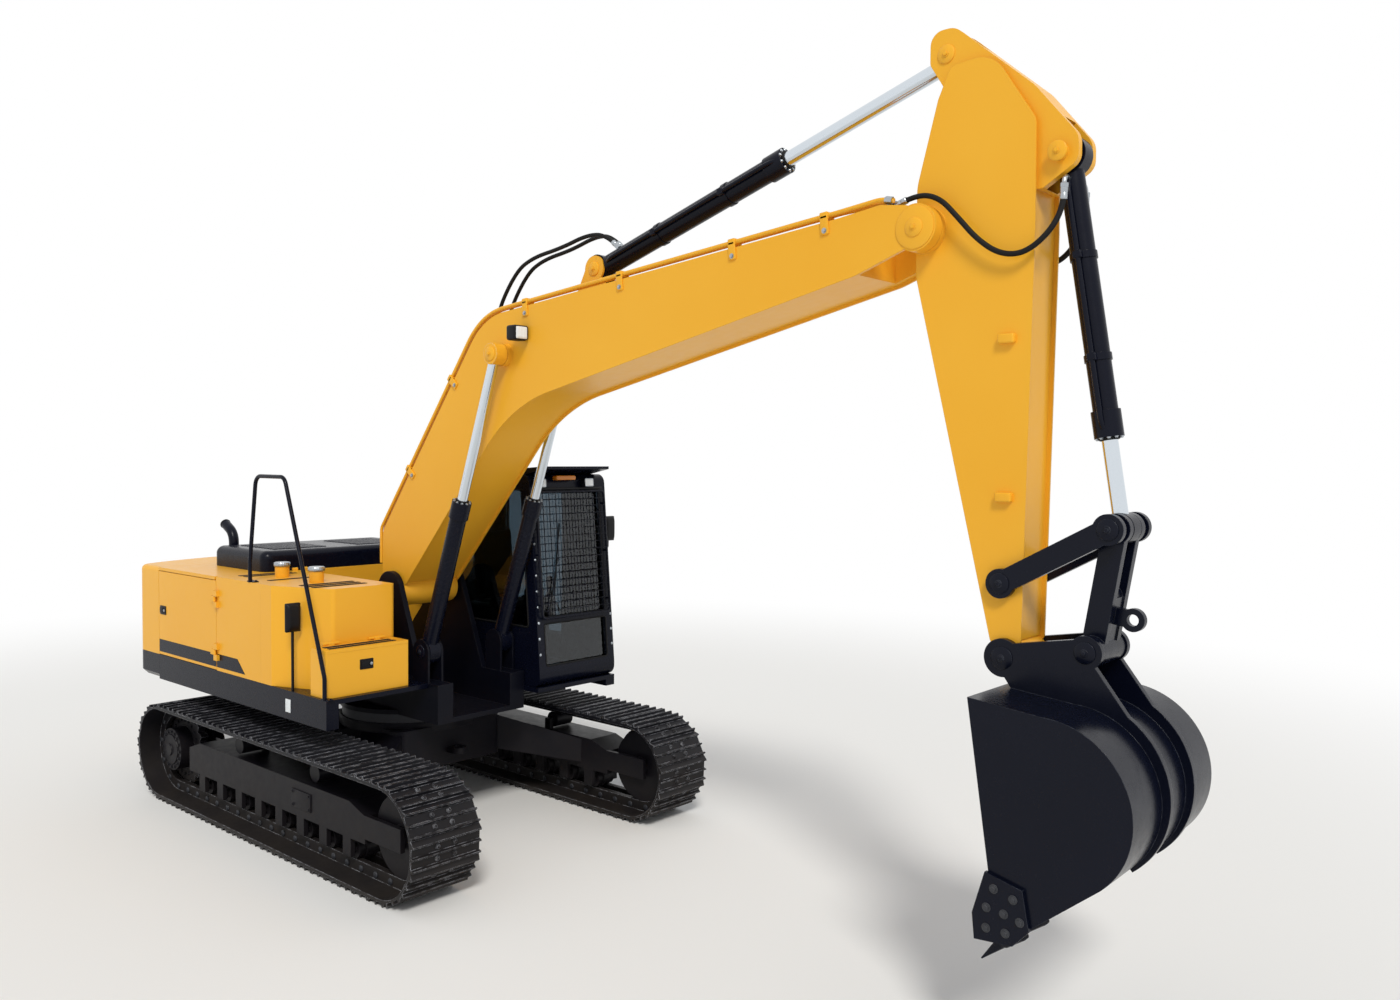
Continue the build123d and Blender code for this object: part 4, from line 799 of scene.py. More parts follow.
class Bench:
    """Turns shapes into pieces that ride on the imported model's bodies."""

    cloth_frames = 20
    cloth_voxel = 0.006
    cloth_reach = 0.016
    cloth_pressure = 4.0
    weld = 1e-5

    def __init__(self, frame: dict) -> None:
        """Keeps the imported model."""
        self.nodes: dict = frame["nodes"]
        self.count = 0

    def solid(self, name: str, shape: Shape, finish: Finish,
              sharp: float = 40.0) -> bpy.types.Object:
        """Makes one object, with its seams and poles closed, that rides on nothing yet.

        Args:
            name: the piece's name.
            shape: its points and faces.
            finish: its material.
            sharp: angle in degrees above which an edge stays sharp.

        Returns:
            The object.
        """
        mesh = bpy.data.meshes.new(name)
        mesh.from_pydata(shape.points.tolist(), [], shape.faces.tolist())
        work = bmesh.new()
        work.from_mesh(mesh)
        bmesh.ops.remove_doubles(work, verts=work.verts, dist=self.weld)
        bmesh.ops.recalc_face_normals(work, faces=work.faces)
        work.to_mesh(mesh)
        work.free()
        mesh.shade_smooth()
        mesh.set_sharp_from_angle(angle=float(np.radians(sharp)))
        mesh.materials.append(finish.material())
        piece = bpy.data.objects.new(name, mesh)
        bpy.context.scene.collection.objects.link(piece)
        self.count += 1
        log.info("piece %s: %d faces", name, len(mesh.polygons))
        return piece

    def piece(self, name: str, shape: Shape, finish: Finish, body: Body,
              slot: Slot | None) -> bpy.types.Object:
        """Makes one piece and puts it on its body.

        Args:
            name: the piece's name.
            shape: its points and faces.
            finish: its material.
            body: the body that carries it.
            slot: the record's slot for it, if it has one; it is not used.

        Returns:
            The object.
        """
        made = self.solid(name, shape, finish)
        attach(made, body.value)
        return made

    def cushion(self, name: str, shape: Shape, finish: Finish, body: Body,
                slot: Slot | None) -> bpy.types.Object:
        """Makes one padded piece, swollen as cloth, and puts it on its body.

        Args:
            name: the piece's name.
            shape: its points and faces.
            finish: its material.
            body: the body that carries it.
            slot: the record's slot for it, if it has one; it is not used.

        Returns:
            The object.
        """
        made = self.solid(name, shape, finish, 180.0)
        self.swell(made)
        smooth = made.modifiers.new("smooth", "SUBSURF")
        smooth.levels = smooth.render_levels = 1
        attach(made, body.value)
        return made

    def swell(self, piece: bpy.types.Object) -> None:
        """Blows a closed skin up as cloth under pressure, and caps how far each point goes.

        Args:
            piece: the object, whose mesh is replaced by the result.
        """
        even = piece.modifiers.new("even", "REMESH")
        even.mode = "VOXEL"
        even.voxel_size = self.cloth_voxel
        view = bpy.context.evaluated_depsgraph_get()
        piece.data = bpy.data.meshes.new_from_object(piece.evaluated_get(view))
        piece.modifiers.clear()
        before = np.empty(3 * len(piece.data.vertices))
        piece.data.vertices.foreach_get("co", before)
        cloth = piece.modifiers.new("cloth", "CLOTH")
        cloth.settings.use_pressure = True
        cloth.settings.uniform_pressure_force = self.cloth_pressure
        cloth.settings.effector_weights.gravity = 0.0
        cloth.point_cache.frame_end = self.cloth_frames
        for step in range(1, self.cloth_frames + 1):
            bpy.context.scene.frame_set(step)
        blown = piece.evaluated_get(bpy.context.evaluated_depsgraph_get()).to_mesh()
        after = np.empty_like(before)
        blown.vertices.foreach_get("co", after)
        moves = (after - before).reshape(-1, 3)
        length = np.maximum(np.linalg.norm(moves, axis=1, keepdims=True), 1e-9)
        moves *= np.minimum(1.0, self.cloth_reach / length)
        piece.modifiers.clear()
        bpy.context.scene.frame_set(1)
        piece.data.vertices.foreach_set("co", before + moves.ravel())
        piece.data.shade_smooth()

    def dress_nodes(self) -> None:
        """Gives each CAD node its finish."""
        for finish, names in NODE_FINISHES.items():
            for name in names:
                materials = self.nodes[name].data.materials
                materials.clear()
                materials.append(finish.material())


@dataclass
class Undercarriage:
    """Bolts, link pins and covers of tracks, drives and track frames. Lengths are metres."""

    half_gauge: float = 1.28
    wheel_base: float = 3.72
    pin_radius: float = 0.37
    axle_height: float = 0.46
    shoe_count: int = 49
    shoe_top: float = 0.064
    rail_middle: float = 0.075
    rail_outer: float = 0.1
    drive_face: float = 1.445
    bolt: float = 0.015
    drive_bolt: float = 0.014
    drive_bolts: int = 16
    drive_ring: float = 0.168
    sprocket_bolts: int = 22
    sprocket_ring: float = 0.26
    sprocket_face: float = 0.035

    @property
    def pitch(self) -> float:
        """Length of one shoe along the line of the pins."""
        return 2 * (self.wheel_base + np.pi * self.pin_radius) / self.shoe_count

    def pin_line(self, distance: Array) -> Array:
        """Points on the stadium that the link pins follow, from the distance along it.

        Args:
            distance: metres from the rear end of the lower run.

        Returns:
            Rows of x and z.
        """
        half, radius = self.wheel_base / 2, self.pin_radius
        arc = np.pi * radius
        distance = distance % (2 * (self.wheel_base + arc))
        stage = np.digitize(distance, [self.wheel_base, self.wheel_base + arc, 2 * self.wheel_base + arc])
        front = (distance - self.wheel_base) / radius - np.pi / 2
        rear = (distance - 2 * self.wheel_base - arc) / radius + np.pi / 2
        x = np.choose(stage, [distance - half, half + radius * np.cos(front),
                              half - distance + self.wheel_base + arc, -half + radius * np.cos(rear)])
        z = np.choose(stage, [np.full_like(distance, -radius), radius * np.sin(front),
                              np.full_like(distance, radius), radius * np.sin(rear)])
        return np.stack([x, z + self.axle_height], axis=1)

    def build(self, bench: Bench) -> None:
        """Adds every piece of the undercarriage.

        Args:
            bench: makes the pieces.
        """
        for make in (self.shoe_bolts, self.link_pins, self.wheel_bolts, self.covers):
            make(bench)

    def shoe_bolts(self, bench: Bench) -> None:
        """Four bolts on each shoe, between its bars, square to the shoe.

        Args:
            bench: makes the pieces.
        """
        ends = self.pin_line(np.arange(self.shoe_count + 1) * self.pitch)
        along = np.diff(ends, axis=0)
        unit = along / np.linalg.norm(along, axis=1, keepdims=True)
        outward = np.stack([unit[:, 1], -unit[:, 0]], axis=1)
        share = np.array([0.28, 0.72])
        flat = ends[:-1, None] + share[None, :, None] * along[:, None] + self.shoe_top * outward[:, None]
        across = np.array([-self.rail_middle, self.rail_middle])
        zero = np.zeros(self.shoe_count)
        turn = np.stack([np.stack([unit[:, 0], zero, unit[:, 1]], axis=1),
                         np.tile([0.0, 1.0, 0.0], (len(unit), 1)),
                         np.stack([outward[:, 0], zero, outward[:, 1]], axis=1)], axis=2)
        for side, name in ((1, "left"), (-1, "right")):
            y = np.broadcast_to((side * self.half_gauge + across)[None, None], (self.shoe_count, 2, 2))
            x = np.broadcast_to(flat[:, :, None, 0], y.shape)
            z = np.broadcast_to(flat[:, :, None, 1], y.shape)
            places = np.stack([x, y, z], axis=-1).reshape(-1, 3)
            bench.piece(f"shoe_bolts_{name}", bolt_shape(self.bolt).moved(places, np.repeat(turn, 4, axis=0)),
                        TRACK, Body.UNDERCARRIAGE, Slot.TRACK_STEEL)

    def link_pins(self, bench: Bench) -> None:
        """Pin ends on both sides of the link rails.

        Args:
            bench: makes the pieces.
        """
        flat = self.pin_line(np.arange(self.shoe_count) * self.pitch)
        pin = turned_shape([(0.026, 0.0), (0.026, 0.007), (0.021, 0.011), (0.0, 0.011)], 12)
        for side, name in ((1, "left"), (-1, "right")):
            ends = []
            for face in (1, -1):
                y = np.full(len(flat), side * self.half_gauge + face * self.rail_outer)
                places = np.stack([flat[:, 0], y, flat[:, 1]], axis=1)
                ends.append(pin.moved(places, turn_to((0.0, face, 0.0))))
            bench.piece(f"link_pins_{name}", Shape.joined(ends), CAST, Body.UNDERCARRIAGE, Slot.TRACK_STEEL)

    def wheel_bolts(self, bench: Bench) -> None:
        """Rings of bolts on the drives' covers and the sprockets, and a plug in each cover.

        Args:
            bench: makes the pieces.
        """
        bolt = bolt_shape(self.drive_bolt)
        cover = turned_shape([(0.145, 0.0), (0.14, 0.012), (0.06, 0.018), (0.055, 0.03), (0.0, 0.03)], 32)
        parts = []
        for side in (1, -1):
            axis = (0.0, float(side), 0.0)
            turn = turn_to(axis)
            hub = (-self.wheel_base / 2, side * self.drive_face, self.axle_height)
            ring = (-self.wheel_base / 2, side * (self.half_gauge + self.sprocket_face), self.axle_height)
            parts.append(bolt.moved(circle_places(hub, self.drive_ring, self.drive_bolts, axis), turn))
            parts.append(cover.moved(np.array([hub]), turn))
            parts.append(bolt.moved(circle_places(ring, self.sprocket_ring, self.sprocket_bolts, axis), turn))
        bench.piece("drive_bolts", Shape.joined(parts), CHASSIS, Body.UNDERCARRIAGE, Slot.DARK_PAINT)

    def covers(self, bench: Bench) -> None:
        """Bolted cover over the tensioner's grease valve, on each track frame's outer side.

        Args:
            bench: makes the pieces.
        """
        parts = []
        for side in (1, -1):
            axis = (0.0, float(side), 0.0)
            middle = np.array([0.55, side * (self.half_gauge + 0.169), 0.475])
            parts.append(rounded_block((0.30, 0.012, 0.15), 0.005).moved(middle[None]))
            corners = np.array([[x, 0.0, z] for x in (-0.125, 0.125) for z in (-0.055, 0.055)])
            places = middle + corners + np.array([0.0, side * 0.006, 0.0])
            parts.append(bolt_shape(0.011).moved(places, turn_to(axis)))
        bench.piece("tensioner_covers", Shape.joined(parts), CHASSIS, Body.UNDERCARRIAGE, Slot.DARK_PAINT)


@dataclass
class UpperBody:
    """Latches, caps, strips, louvres and small fittings of the upper body. Lengths are metres."""

    half_width: float = 1.43
    deck_top: float = 1.34
    body_top: float = 2.19
    tank_middle: float = -1.015
    cap_places: tuple[float, float] = (-0.545, 0.046)
    cap_top: float = 2.285
    lid_top: float = 1.7304
    box_front: float = 0.85
    hood_right: float = -0.96
    hood_left: float = 0.86
    exhaust: Point = (-2.06, -0.72, 2.19)

    def build(self, bench: Bench) -> None:
        """Adds every piece of the upper body.

        Args:
            bench: makes the pieces.
        """
        for make in (self.latches, self.caps, self.exhaust_fittings, self.strips, self.feet, self.reflectors,
                     self.louvres, self.band):
            make(bench)

    @staticmethod
    def latch(middle: Point, normal: Point) -> tuple[Shape, Shape]:
        """One flush latch: a rounded escutcheon with a paddle, and its lock barrel.

        Args:
            middle: where it sits on the panel.
            normal: the panel's outward direction.

        Returns:
            The escutcheon with its paddle, and the barrel.
        """
        turn = turn_to(normal)
        plate = rounded_block((0.085, 0.125, 0.014), 0.006).moved(np.array([middle]), turn)
        place = np.array([middle]) + turn[:, 2] * 0.008
        paddle = rounded_block((0.055, 0.07, 0.012), 0.005).moved(place - turn[:, 1] * 0.018, turn)
        barrel = turned_shape([(0.013, 0.0), (0.013, 0.006), (0.009, 0.009), (0.0, 0.009)], 16)
        return Shape.joined([plate, paddle]), barrel.moved(place + turn[:, 1] * 0.04, turn)

    def latches(self, bench: Bench) -> None:
        """Latches of both side doors, the hood and the tool box.

        Args:
            bench: makes the pieces.
        """
        doors = (
            ("pump_latch", (-2.05, -self.half_width, 1.78), (0.0, -1.0, 0.0), Body.PUMP_DOOR),
            ("cooler_latch", (-1.04, self.half_width, 1.78), (0.0, 1.0, 0.0), Body.COOLER_DOOR),
            ("box_latch", (self.box_front, -1.03, 1.58), (1.0, 0.0, 0.0), Body.UPPER),
        )
        for name, middle, normal, body in doors:
            plate, barrel = self.latch(middle, normal)
            bench.piece(f"{name}_plate", plate, PLASTIC, body, Slot.DARK_PAINT)
            bench.piece(f"{name}_barrel", barrel, ZINC, body, Slot.ROD_CHROME)
        grips = []
        for y in (self.hood_right + 0.45, self.hood_left - 0.45):
            path = bent_path([(-2.004, y - 0.09, 2.27), (-2.035, y - 0.085, 2.27), (-2.05, y - 0.05, 2.27),
                              (-2.05, y + 0.05, 2.27), (-2.035, y + 0.085, 2.27), (-2.004, y + 0.09, 2.27)])
            grips.append(tube_shape(path, 0.009))
        bench.piece("hood_grips", Shape.joined(grips), BLACK, Body.HOOD, Slot.DARK_PAINT)

    def caps(self, bench: Bench) -> None:
        """Bright screw caps on the fillers: a ribbed skirt under a flat top, r(v) = r + 1.5 mm cos 24 v.

        Args:
            bench: makes the pieces.
        """
        angle = round_angles(96)
        profile = np.array([(0.068, 0.0), (0.070, 0.004), (0.070, 0.03), (0.064, 0.038), (0.03, 0.041),
                            (0.0, 0.041)])
        ribs = np.array([0.0, 1.0, 1.0, 0.2, 0.0, 0.0])[:, None] * 0.0015 * np.cos(24 * angle)
        radius = profile[:, :1] + ribs
        grid = np.stack([radius * np.cos(angle), radius * np.sin(angle),
                         np.repeat(profile[:, 1:], len(angle), axis=1)], axis=-1)
        cap = Shape(grid.reshape(-1, 3), grid_faces(len(profile), len(angle), True))
        places = np.array([[x, self.tank_middle, self.cap_top] for x in self.cap_places])
        bench.piece("filler_tops", cap.moved(places), ZINC, Body.UPPER, Slot.ROD_CHROME)

    def exhaust_fittings(self, bench: Bench) -> None:
        """Clamp band at the pipe's foot, and the rolled rim at its mouth round a black disc, soot and painted
        shade in place of the bore.

        Args:
            bench: makes the pieces.
        """
        x, y, z = self.exhaust
        band = turned_shape([(0.049, -0.016), (0.056, -0.016), (0.056, 0.016), (0.049, 0.016)], 32)
        flange = turned_shape([(0.049, 0.012), (0.085, 0.012), (0.085, 0.0), (0.049, 0.0)], 32)
        base = [band.moved(np.array([[x, y, z + 0.06]])), flange.moved(np.array([[x, y, z]])),
                bolt_shape(0.008).moved(circle_places((x, y, z + 0.012), 0.07, 6, (0.0, 0.0, 1.0)))]
        bench.piece("exhaust_clamp", Shape.joined(base), ZINC, Body.UPPER, Slot.ROD_CHROME)
        mouth = np.array([[x - 0.18, y, z + 0.39]])
        # The flat disc across the mouth is black soot and painted shade in place of the open bore
        rim = turned_shape([(0.0, 0.003), (0.042, 0.003), (0.045, 0.008), (0.05, 0.006), (0.052, -0.004),
                            (0.049, -0.012)], 32)
        bench.piece("exhaust_rim", rim.moved(mouth, turn_to((-0.894, 0.0, 0.447))), SOOT_AND_PAINTED_SHADE, Body.UPPER,
                    Slot.DARK_PAINT)

    def strips(self, bench: Bench) -> None:
        """Grit strips on the tool box's lid and on the tanks, to stand on.

        Args:
            bench: makes the pieces.
        """
        lid = [rounded_block((0.045, 0.62, 0.004), 0.0015).moved(np.array([[x, -1.03, self.lid_top + 0.002]]))
               for x in (0.715, 0.79)]
        bench.piece("lid_strips", Shape.joined(lid), GRIT, Body.LID, Slot.DARK_PAINT)
        rows = (-0.85, -0.75, -0.32, 0.22, 0.32, 0.42)
        places = np.array([[x, self.tank_middle, self.body_top + 0.002] for x in rows])
        tank = rounded_block((0.05, 0.5, 0.004), 0.0015).moved(places)
        bench.piece("tank_strips", tank, GRIT, Body.UPPER, Slot.DARK_PAINT)

    def feet(self, bench: Bench) -> None:
        """Bolted foot plates under both ends of the handrail.

        Args:
            bench: makes the pieces.
        """
        plate = rounded_block((0.11, 0.055, 0.012), 0.004)
        places = np.array([[-0.33, -1.4, self.body_top + 0.004], [0.876, -1.4, self.deck_top + 0.004]])
        bolts = np.concatenate([places + np.array([x, 0.008, 0.006]) for x in (-0.04, 0.04)])
        parts = [plate.moved(places), bolt_shape(0.009).moved(bolts)]
        bench.piece("rail_feet", Shape.joined(parts), BLACK, Body.UPPER, Slot.DARK_PAINT)

    def reflectors(self, bench: Bench) -> None:
        """White reflector on each skirt, near the tool box.

        Args:
            bench: makes the pieces.
        """
        block = rounded_block((0.075, 0.01, 0.11), 0.004)
        places = np.array([[0.32, side * (self.half_width + 0.004), 1.215] for side in (-1, 1)])
        bench.piece("side_reflectors", block.moved(places), LENS, Body.UPPER, None)

    def louvres(self, bench: Bench) -> None:
        """Pressed louvres on the hood in two fields, and bars over the cooler door's grille.

        Args:
            bench: makes the pieces.
        """
        along = -1.476 + (np.arange(12) - 5.5) * 0.056
        places = np.array([[x, y, 2.384] for x in along for y in (-0.5, 0.4)])
        slat = rounded_block((0.034, 0.56, 0.016), 0.007)
        bench.piece("hood_louvres", slat.moved(places), BLACK, Body.HOOD, Slot.DARK_PAINT)
        heights = 1.75 + (np.arange(14) - 6.5) * 0.04
        bars = rounded_block((0.62, 0.014, 0.02), 0.006).moved(
            np.array([[-1.5, self.half_width + 0.003, z] for z in heights]))
        bench.piece("cooler_grille", bars, BLACK, Body.COOLER_DOOR, Slot.DARK_PAINT)

    def band(self, bench: Bench) -> None:
        """Plain black band low on the right side, split at the door's edge and cut off at a slant.

        Args:
            bench: makes the pieces.
        """
        low, high, near, far = 1.372, 1.492, -self.half_width + 0.001, -self.half_width - 0.0015
        door = [(-2.14, low), (-0.957, low), (-0.957, high), (-2.14, high)]
        tank = [(-0.944, low), (-0.42, low), (-0.56, high), (-0.944, high)]
        bench.piece("door_band", plate_shape(door, near, far), BLACK, Body.PUMP_DOOR, Slot.DARK_PAINT)
        bench.piece("tank_band", plate_shape(tank, near, far), BLACK, Body.UPPER, Slot.DARK_PAINT)


@dataclass
class Cab:
    """Lamps, guard, rail, seals, wiper, mirrors, controls and seat of the cab. Lengths are metres."""

    right: float = 0.49
    left: float = 1.43
    rear: float = -0.56
    front: float = 1.25
    lean: float = 0.16
    sill: float = 1.33
    roof: float = 3.13
    head: float = 2.99
    pane_edge: float = 0.084
    upper_pane: tuple[float, float] = (1.83, 2.99)
    lower_pane: tuple[float, float] = (1.39, 1.77)
    rear_pane_low: float = 1.99
    side_pane_low: float = 1.74
    side_pane_rear: float = -0.44
    door_pane: tuple[float, float, float, float] = (-0.345, 0.555, 1.52, 2.98)
    mirror_post: tuple[float, float] = (0.345, -1.405)
    display: tuple[float, float] = (0.98, 0.65)
    lamp_places: tuple[float, float] = (0.575, 1.165)
    beacon_y: float = 0.88
    seat_x: float = 0.25
    seat_low: float = 1.76
    seat_top: float = 1.88
    rest_top: float = 2.58
    rest_lean: float = 0.08
    floor: float = 1.26
    bellows_half: float = 0.17
    console_side: float = 0.345
    guard_span: tuple[float, float] = (1.82, 2.97)
    guard_gap: float = 0.034
    guard_bar: float = 0.004

    @property
    def middle(self) -> float:
        """Middle of the cab across the machine."""
        return (self.right + self.left) / 2

    def screen_frame(self) -> Array:
        """Directions of the leaning front face.

        Returns:
            A 3 x 3 matrix whose columns are across, up and outward.
        """
        up = np.array([-self.lean, 0.0, self.roof - self.sill])
        up /= np.linalg.norm(up)
        across = np.array([0.0, 1.0, 0.0])
        return np.stack([across, up, np.cross(across, up)], axis=1)

    def on_screen(self, y: Array | float, z: Array | float, out: float) -> Array:
        """Points on the front face: x falls with height as the face leans, then each point moves outward.

        Args:
            y: across the machine.
            z: height.
            out: distance from the face.

        Returns:
            Rows of x, y, z.
        """
        y, z = np.broadcast_arrays(np.asarray(y, float), np.asarray(z, float))
        x = self.front - self.lean * np.maximum(z - self.sill, 0.0) / (self.roof - self.sill)
        return np.stack([x, y, z], axis=-1) + out * self.screen_frame()[:, 2]

    def build(self, bench: Bench) -> None:
        """Adds every piece of the cab.

        Args:
            bench: makes the pieces.
        """
        for make in (self.lamps, self.guard, self.grab_rail, self.seals, self.wiper, self.bolts,
                     self.mirror_faces, self.door_handle, self.controls, self.levers, self.seat):
            make(bench)

    def lamps(self, bench: Bench) -> None:
        """Two lamps on a bar, each a box with a ribbed lens and a rim, and the flat beacon's amber cover.

        Args:
            bench: makes the pieces.
        """
        turn = self.screen_frame()
        base = self.on_screen(0.0, self.head + 0.02, 0.0)
        lens = lens_shape(0.096, 0.066, 0.012, 7)
        places = np.array([base + turn @ np.array([y, 0.04, 0.07]) for y in self.lamp_places])
        boxes = rounded_block((0.11, 0.08, 0.07), 0.012).moved(places - 0.035 * turn[:, 2], turn)
        bar = rounded_block((0.82, 0.02, 0.03), 0.006).moved(
            (base + turn @ np.array([self.middle, -0.012, 0.014]))[None], turn)
        bench.piece("cab_lamp_boxes", Shape.joined([boxes, bar]), PLASTIC, Body.UPPER, None)
        bench.piece("cab_lamp_lenses", lens.moved(places, turn), LENS, Body.UPPER, None)
        rim = loop_tube(soft_loop(rectangle(0.1, 0.07), 0.012), 0.004)
        bench.piece("cab_lamp_rims", rim.moved(places, turn), ZINC, Body.UPPER, Slot.ROD_CHROME)
        place = base + turn @ np.array([self.beacon_y, 0.087, 0.039])
        cover = rounded_block((0.238, 0.042, 0.066), 0.01)
        bench.piece("beacon_cover", cover.moved(place[None], turn), AMBER_LENS, Body.UPPER, None)

    def guard(self, bench: Bench) -> None:
        """Bar grid that stands off the windscreen, on a tube frame with six stand-offs.

        Args:
            bench: makes the pieces.
        """
        out, left, right, (low, high) = self.guard_gap, self.left - 0.05, self.right + 0.04, self.guard_span
        rim = self.on_screen(np.array([right, left, left, right]), np.array([low, low, high, high]), out)
        parts = [loop_tube(soft_loop(rim, 0.05), 0.012)]
        steps = np.linspace(0.0, 1.0, 3)
        for y in np.linspace(right, left, 12)[1:-1]:
            parts.append(tube_shape(self.on_screen(np.full(3, y), low + steps * (high - low), out),
                                    self.guard_bar, 8))
        for z in np.linspace(low, high, 18)[1:-1]:
            bar = self.on_screen(right + steps * (left - right), np.full(3, z), out + 1.5 * self.guard_bar)
            parts.append(tube_shape(bar, self.guard_bar, 8))
        post = turned_shape([(0.0, -0.002), (0.011, -0.002), (0.011, out), (0.0, out)], 12)
        corners = [(y, z) for y in (right, left) for z in (low + 0.12, 2.4, high - 0.12)]
        places = np.array([self.on_screen(y, z, 0.0) for y, z in corners])
        parts.append(post.moved(places, self.screen_frame()))
        bench.piece("window_guard", Shape.joined(parts), BLACK, Body.UPPER, Slot.DARK_PAINT)

    def grab_rail(self, bench: Bench) -> None:
        """Rail beside the door, on the left front pillar, in bright zinc that is a painted highlight on a
        dark rail.

        Args:
            bench: makes the pieces.
        """
        x, y, low, high = 1.02, self.left, 1.64, 2.52
        corners = [(x, y - 0.004, low), (x, y + 0.06, low), (x, y + 0.06, high), (x, y - 0.004, high)]
        # The bright zinc is a painted highlight on what is a dark rail
        bench.piece("cab_grab_rail", tube_shape(eased_path(corners, 0.045), 0.013), ZINC, Body.UPPER,
                    Slot.DARK_PAINT)

    def controls(self, bench: Bench) -> None:
        """Arm consoles on their pedestals, travel pedals on the floor and the display on the right pillar.

        Args:
            bench: makes the pieces.
        """
        sides = np.array([[0.275, self.middle + side * self.console_side, 1.77] for side in (-1, 1)])
        parts = [rounded_block((0.43, 0.12, 0.22), 0.03).moved(sides)]
        parts.append(rounded_block((0.26, 0.08, 0.42), 0.02).moved(sides - np.array([0.0, 0.0, 0.3])))
        stem = turned_shape([(0.0, 0.0), (0.012, 0.0), (0.012, 0.1), (0.0, 0.1)], 12)
        parts.append(stem.moved(sides + np.array([0.167, 0.0, 0.11])))
        for side in (-1, 1):
            y = self.middle + side * 0.09
            pedal = rounded_block((0.22, 0.11, 0.03), 0.01)
            parts.append(pedal.moved(np.array([[0.86, y, self.floor + 0.02]])))
            rod = [(0.92, y, self.floor), (0.92, y, self.floor + 0.5), (0.84, y, self.floor + 0.62)]
            parts.append(tube_shape(eased_path(rod, 0.08), 0.011))
        parts.append(rounded_block((0.04, 0.21, 0.15), 0.012).moved(np.array([[*self.display, 2.0]])))
        stalk = eased_path([(*self.display, 1.95), (*self.display, 1.82), (1.03, 0.548, 1.8)], 0.04)
        parts.append(tube_shape(stalk, 0.012))
        bench.piece("cab_controls", Shape.joined(parts), PLASTIC, Body.UPPER, None)

    def seals(self, bench: Bench) -> None:
        """Rubber strips round every window.

        Args:
            bench: makes the pieces.
        """
        inner, outer = self.right + self.pane_edge, self.left - self.pane_edge
        across = np.array([inner, outer, outer, inner])
        loops = [self.on_screen(across, np.array([low, low, high, high]), -0.002)
                 for low, high in (self.upper_pane, self.lower_pane)]
        rear = zip(across, (self.rear_pane_low, self.rear_pane_low, self.head, self.head))
        loops.append(np.array([[self.rear, y, z] for y, z in rear]))
        back, low, high = self.side_pane_rear, self.side_pane_low, self.head
        low_x, high_x = (self.on_screen(0.0, z, 0.0)[0] - 0.12 for z in (low, high))
        right = ((back, low), (low_x, low), (high_x, high), (back, high))
        loops.append(np.array([[x, self.right, z] for x, z in right]))
        strips = [loop_tube(soft_loop(loop, 0.03), 0.008) for loop in loops]
        bench.piece("window_seals", Shape.joined(strips), RUBBER, Body.UPPER, None)
        back, front, low, high = self.door_pane
        door = ((back, low), (front, low), (front, high), (back, high))
        strip = loop_tube(soft_loop(np.array([[x, self.left, z] for x, z in door]), 0.03), 0.008)
        bench.piece("door_window_seal", strip, RUBBER, Body.CAB_DOOR, None)

    def wiper(self, bench: Bench) -> None:
        """Wiper arm with its pivot, and the blade that it presses on the windscreen.

        Args:
            bench: makes the pieces.
        """
        arm = self.on_screen(np.array([0.65, 0.69, 0.74, 0.79]), np.array([1.86, 2.0, 2.18, 2.36]), -0.012)
        pivot = turned_shape([(0.022, -0.02), (0.022, 0.01), (0.015, 0.016), (0.0, 0.016)], 20)
        parts = [tube_shape(bent_path(arm.tolist(), 24), 0.006), pivot.moved(arm[:1], self.screen_frame())]
        bench.piece("wiper_arm", Shape.joined(parts), PLASTIC, Body.UPPER, None)
        blade = self.on_screen(np.array([0.73, 0.76, 0.80, 0.84]), np.array([2.02, 2.2, 2.45, 2.68]), -0.02)
        bench.piece("wiper_blade", tube_shape(bent_path(blade.tolist(), 24), 0.007), RUBBER, Body.UPPER, None)

    def bolts(self, bench: Bench) -> None:
        """Bright bolts down both front pillars, outside the guard.

        Args:
            bench: makes the pieces.
        """
        heights = np.linspace(1.5, 2.93, 11)
        sides = (self.right + 0.02, self.left - 0.02)
        places = np.concatenate([self.on_screen(np.full_like(heights, y), heights, 0.0) for y in sides])
        rows = bolt_shape(0.0085).moved(places, self.screen_frame())
        bench.piece("pillar_bolts", rows, ZINC, Body.UPPER, Slot.ROD_CHROME)

    def mirror_faces(self, bench: Bench) -> None:
        """Both mirrors on their arms: shell, silvered glass on the rear, and a domed back on the front.

        Args:
            bench: makes the pieces.
        """
        x = self.on_screen(0.0, 2.6, 0.0)[0] - 0.06
        middles = np.array([[*self.mirror_post, 1.95], [x, self.left + 0.078, 2.6]])
        shells = rounded_block((0.028, 0.13, 0.24), 0.01).moved(middles)
        post = tube_shape(np.array([[*self.mirror_post, z] for z in (1.34, 1.6, 1.86)]), 0.012)
        arm = tube_shape(eased_path([(x, self.left - 0.02, 2.4), (x, self.left + 0.07, 2.4),
                                     (x, self.left + 0.07, 2.52)], 0.04), 0.011)
        bench.piece("mirror_shells", Shape.joined([shells, post, arm]), PLASTIC, Body.UPPER, None)
        glass = rounded_block((0.11, 0.22, 0.006), 0.0025)
        backward, forward = np.array([-0.015, 0.0, 0.0]), np.array([0.014, 0.0, 0.0])
        turn = np.array([[0.0, 0.0, -1.0], [1.0, 0.0, 0.0], [0.0, 1.0, 0.0]])
        bench.piece("mirror_glass", glass.moved(middles + backward, turn), MIRROR, Body.UPPER,
                    Slot.ROD_CHROME)
        dome = lens_shape(0.128, 0.238, 0.03, 0)
        bench.piece("mirror_backs", dome.moved(middles + forward, LOOK_FORWARD), PLASTIC, Body.UPPER, None)

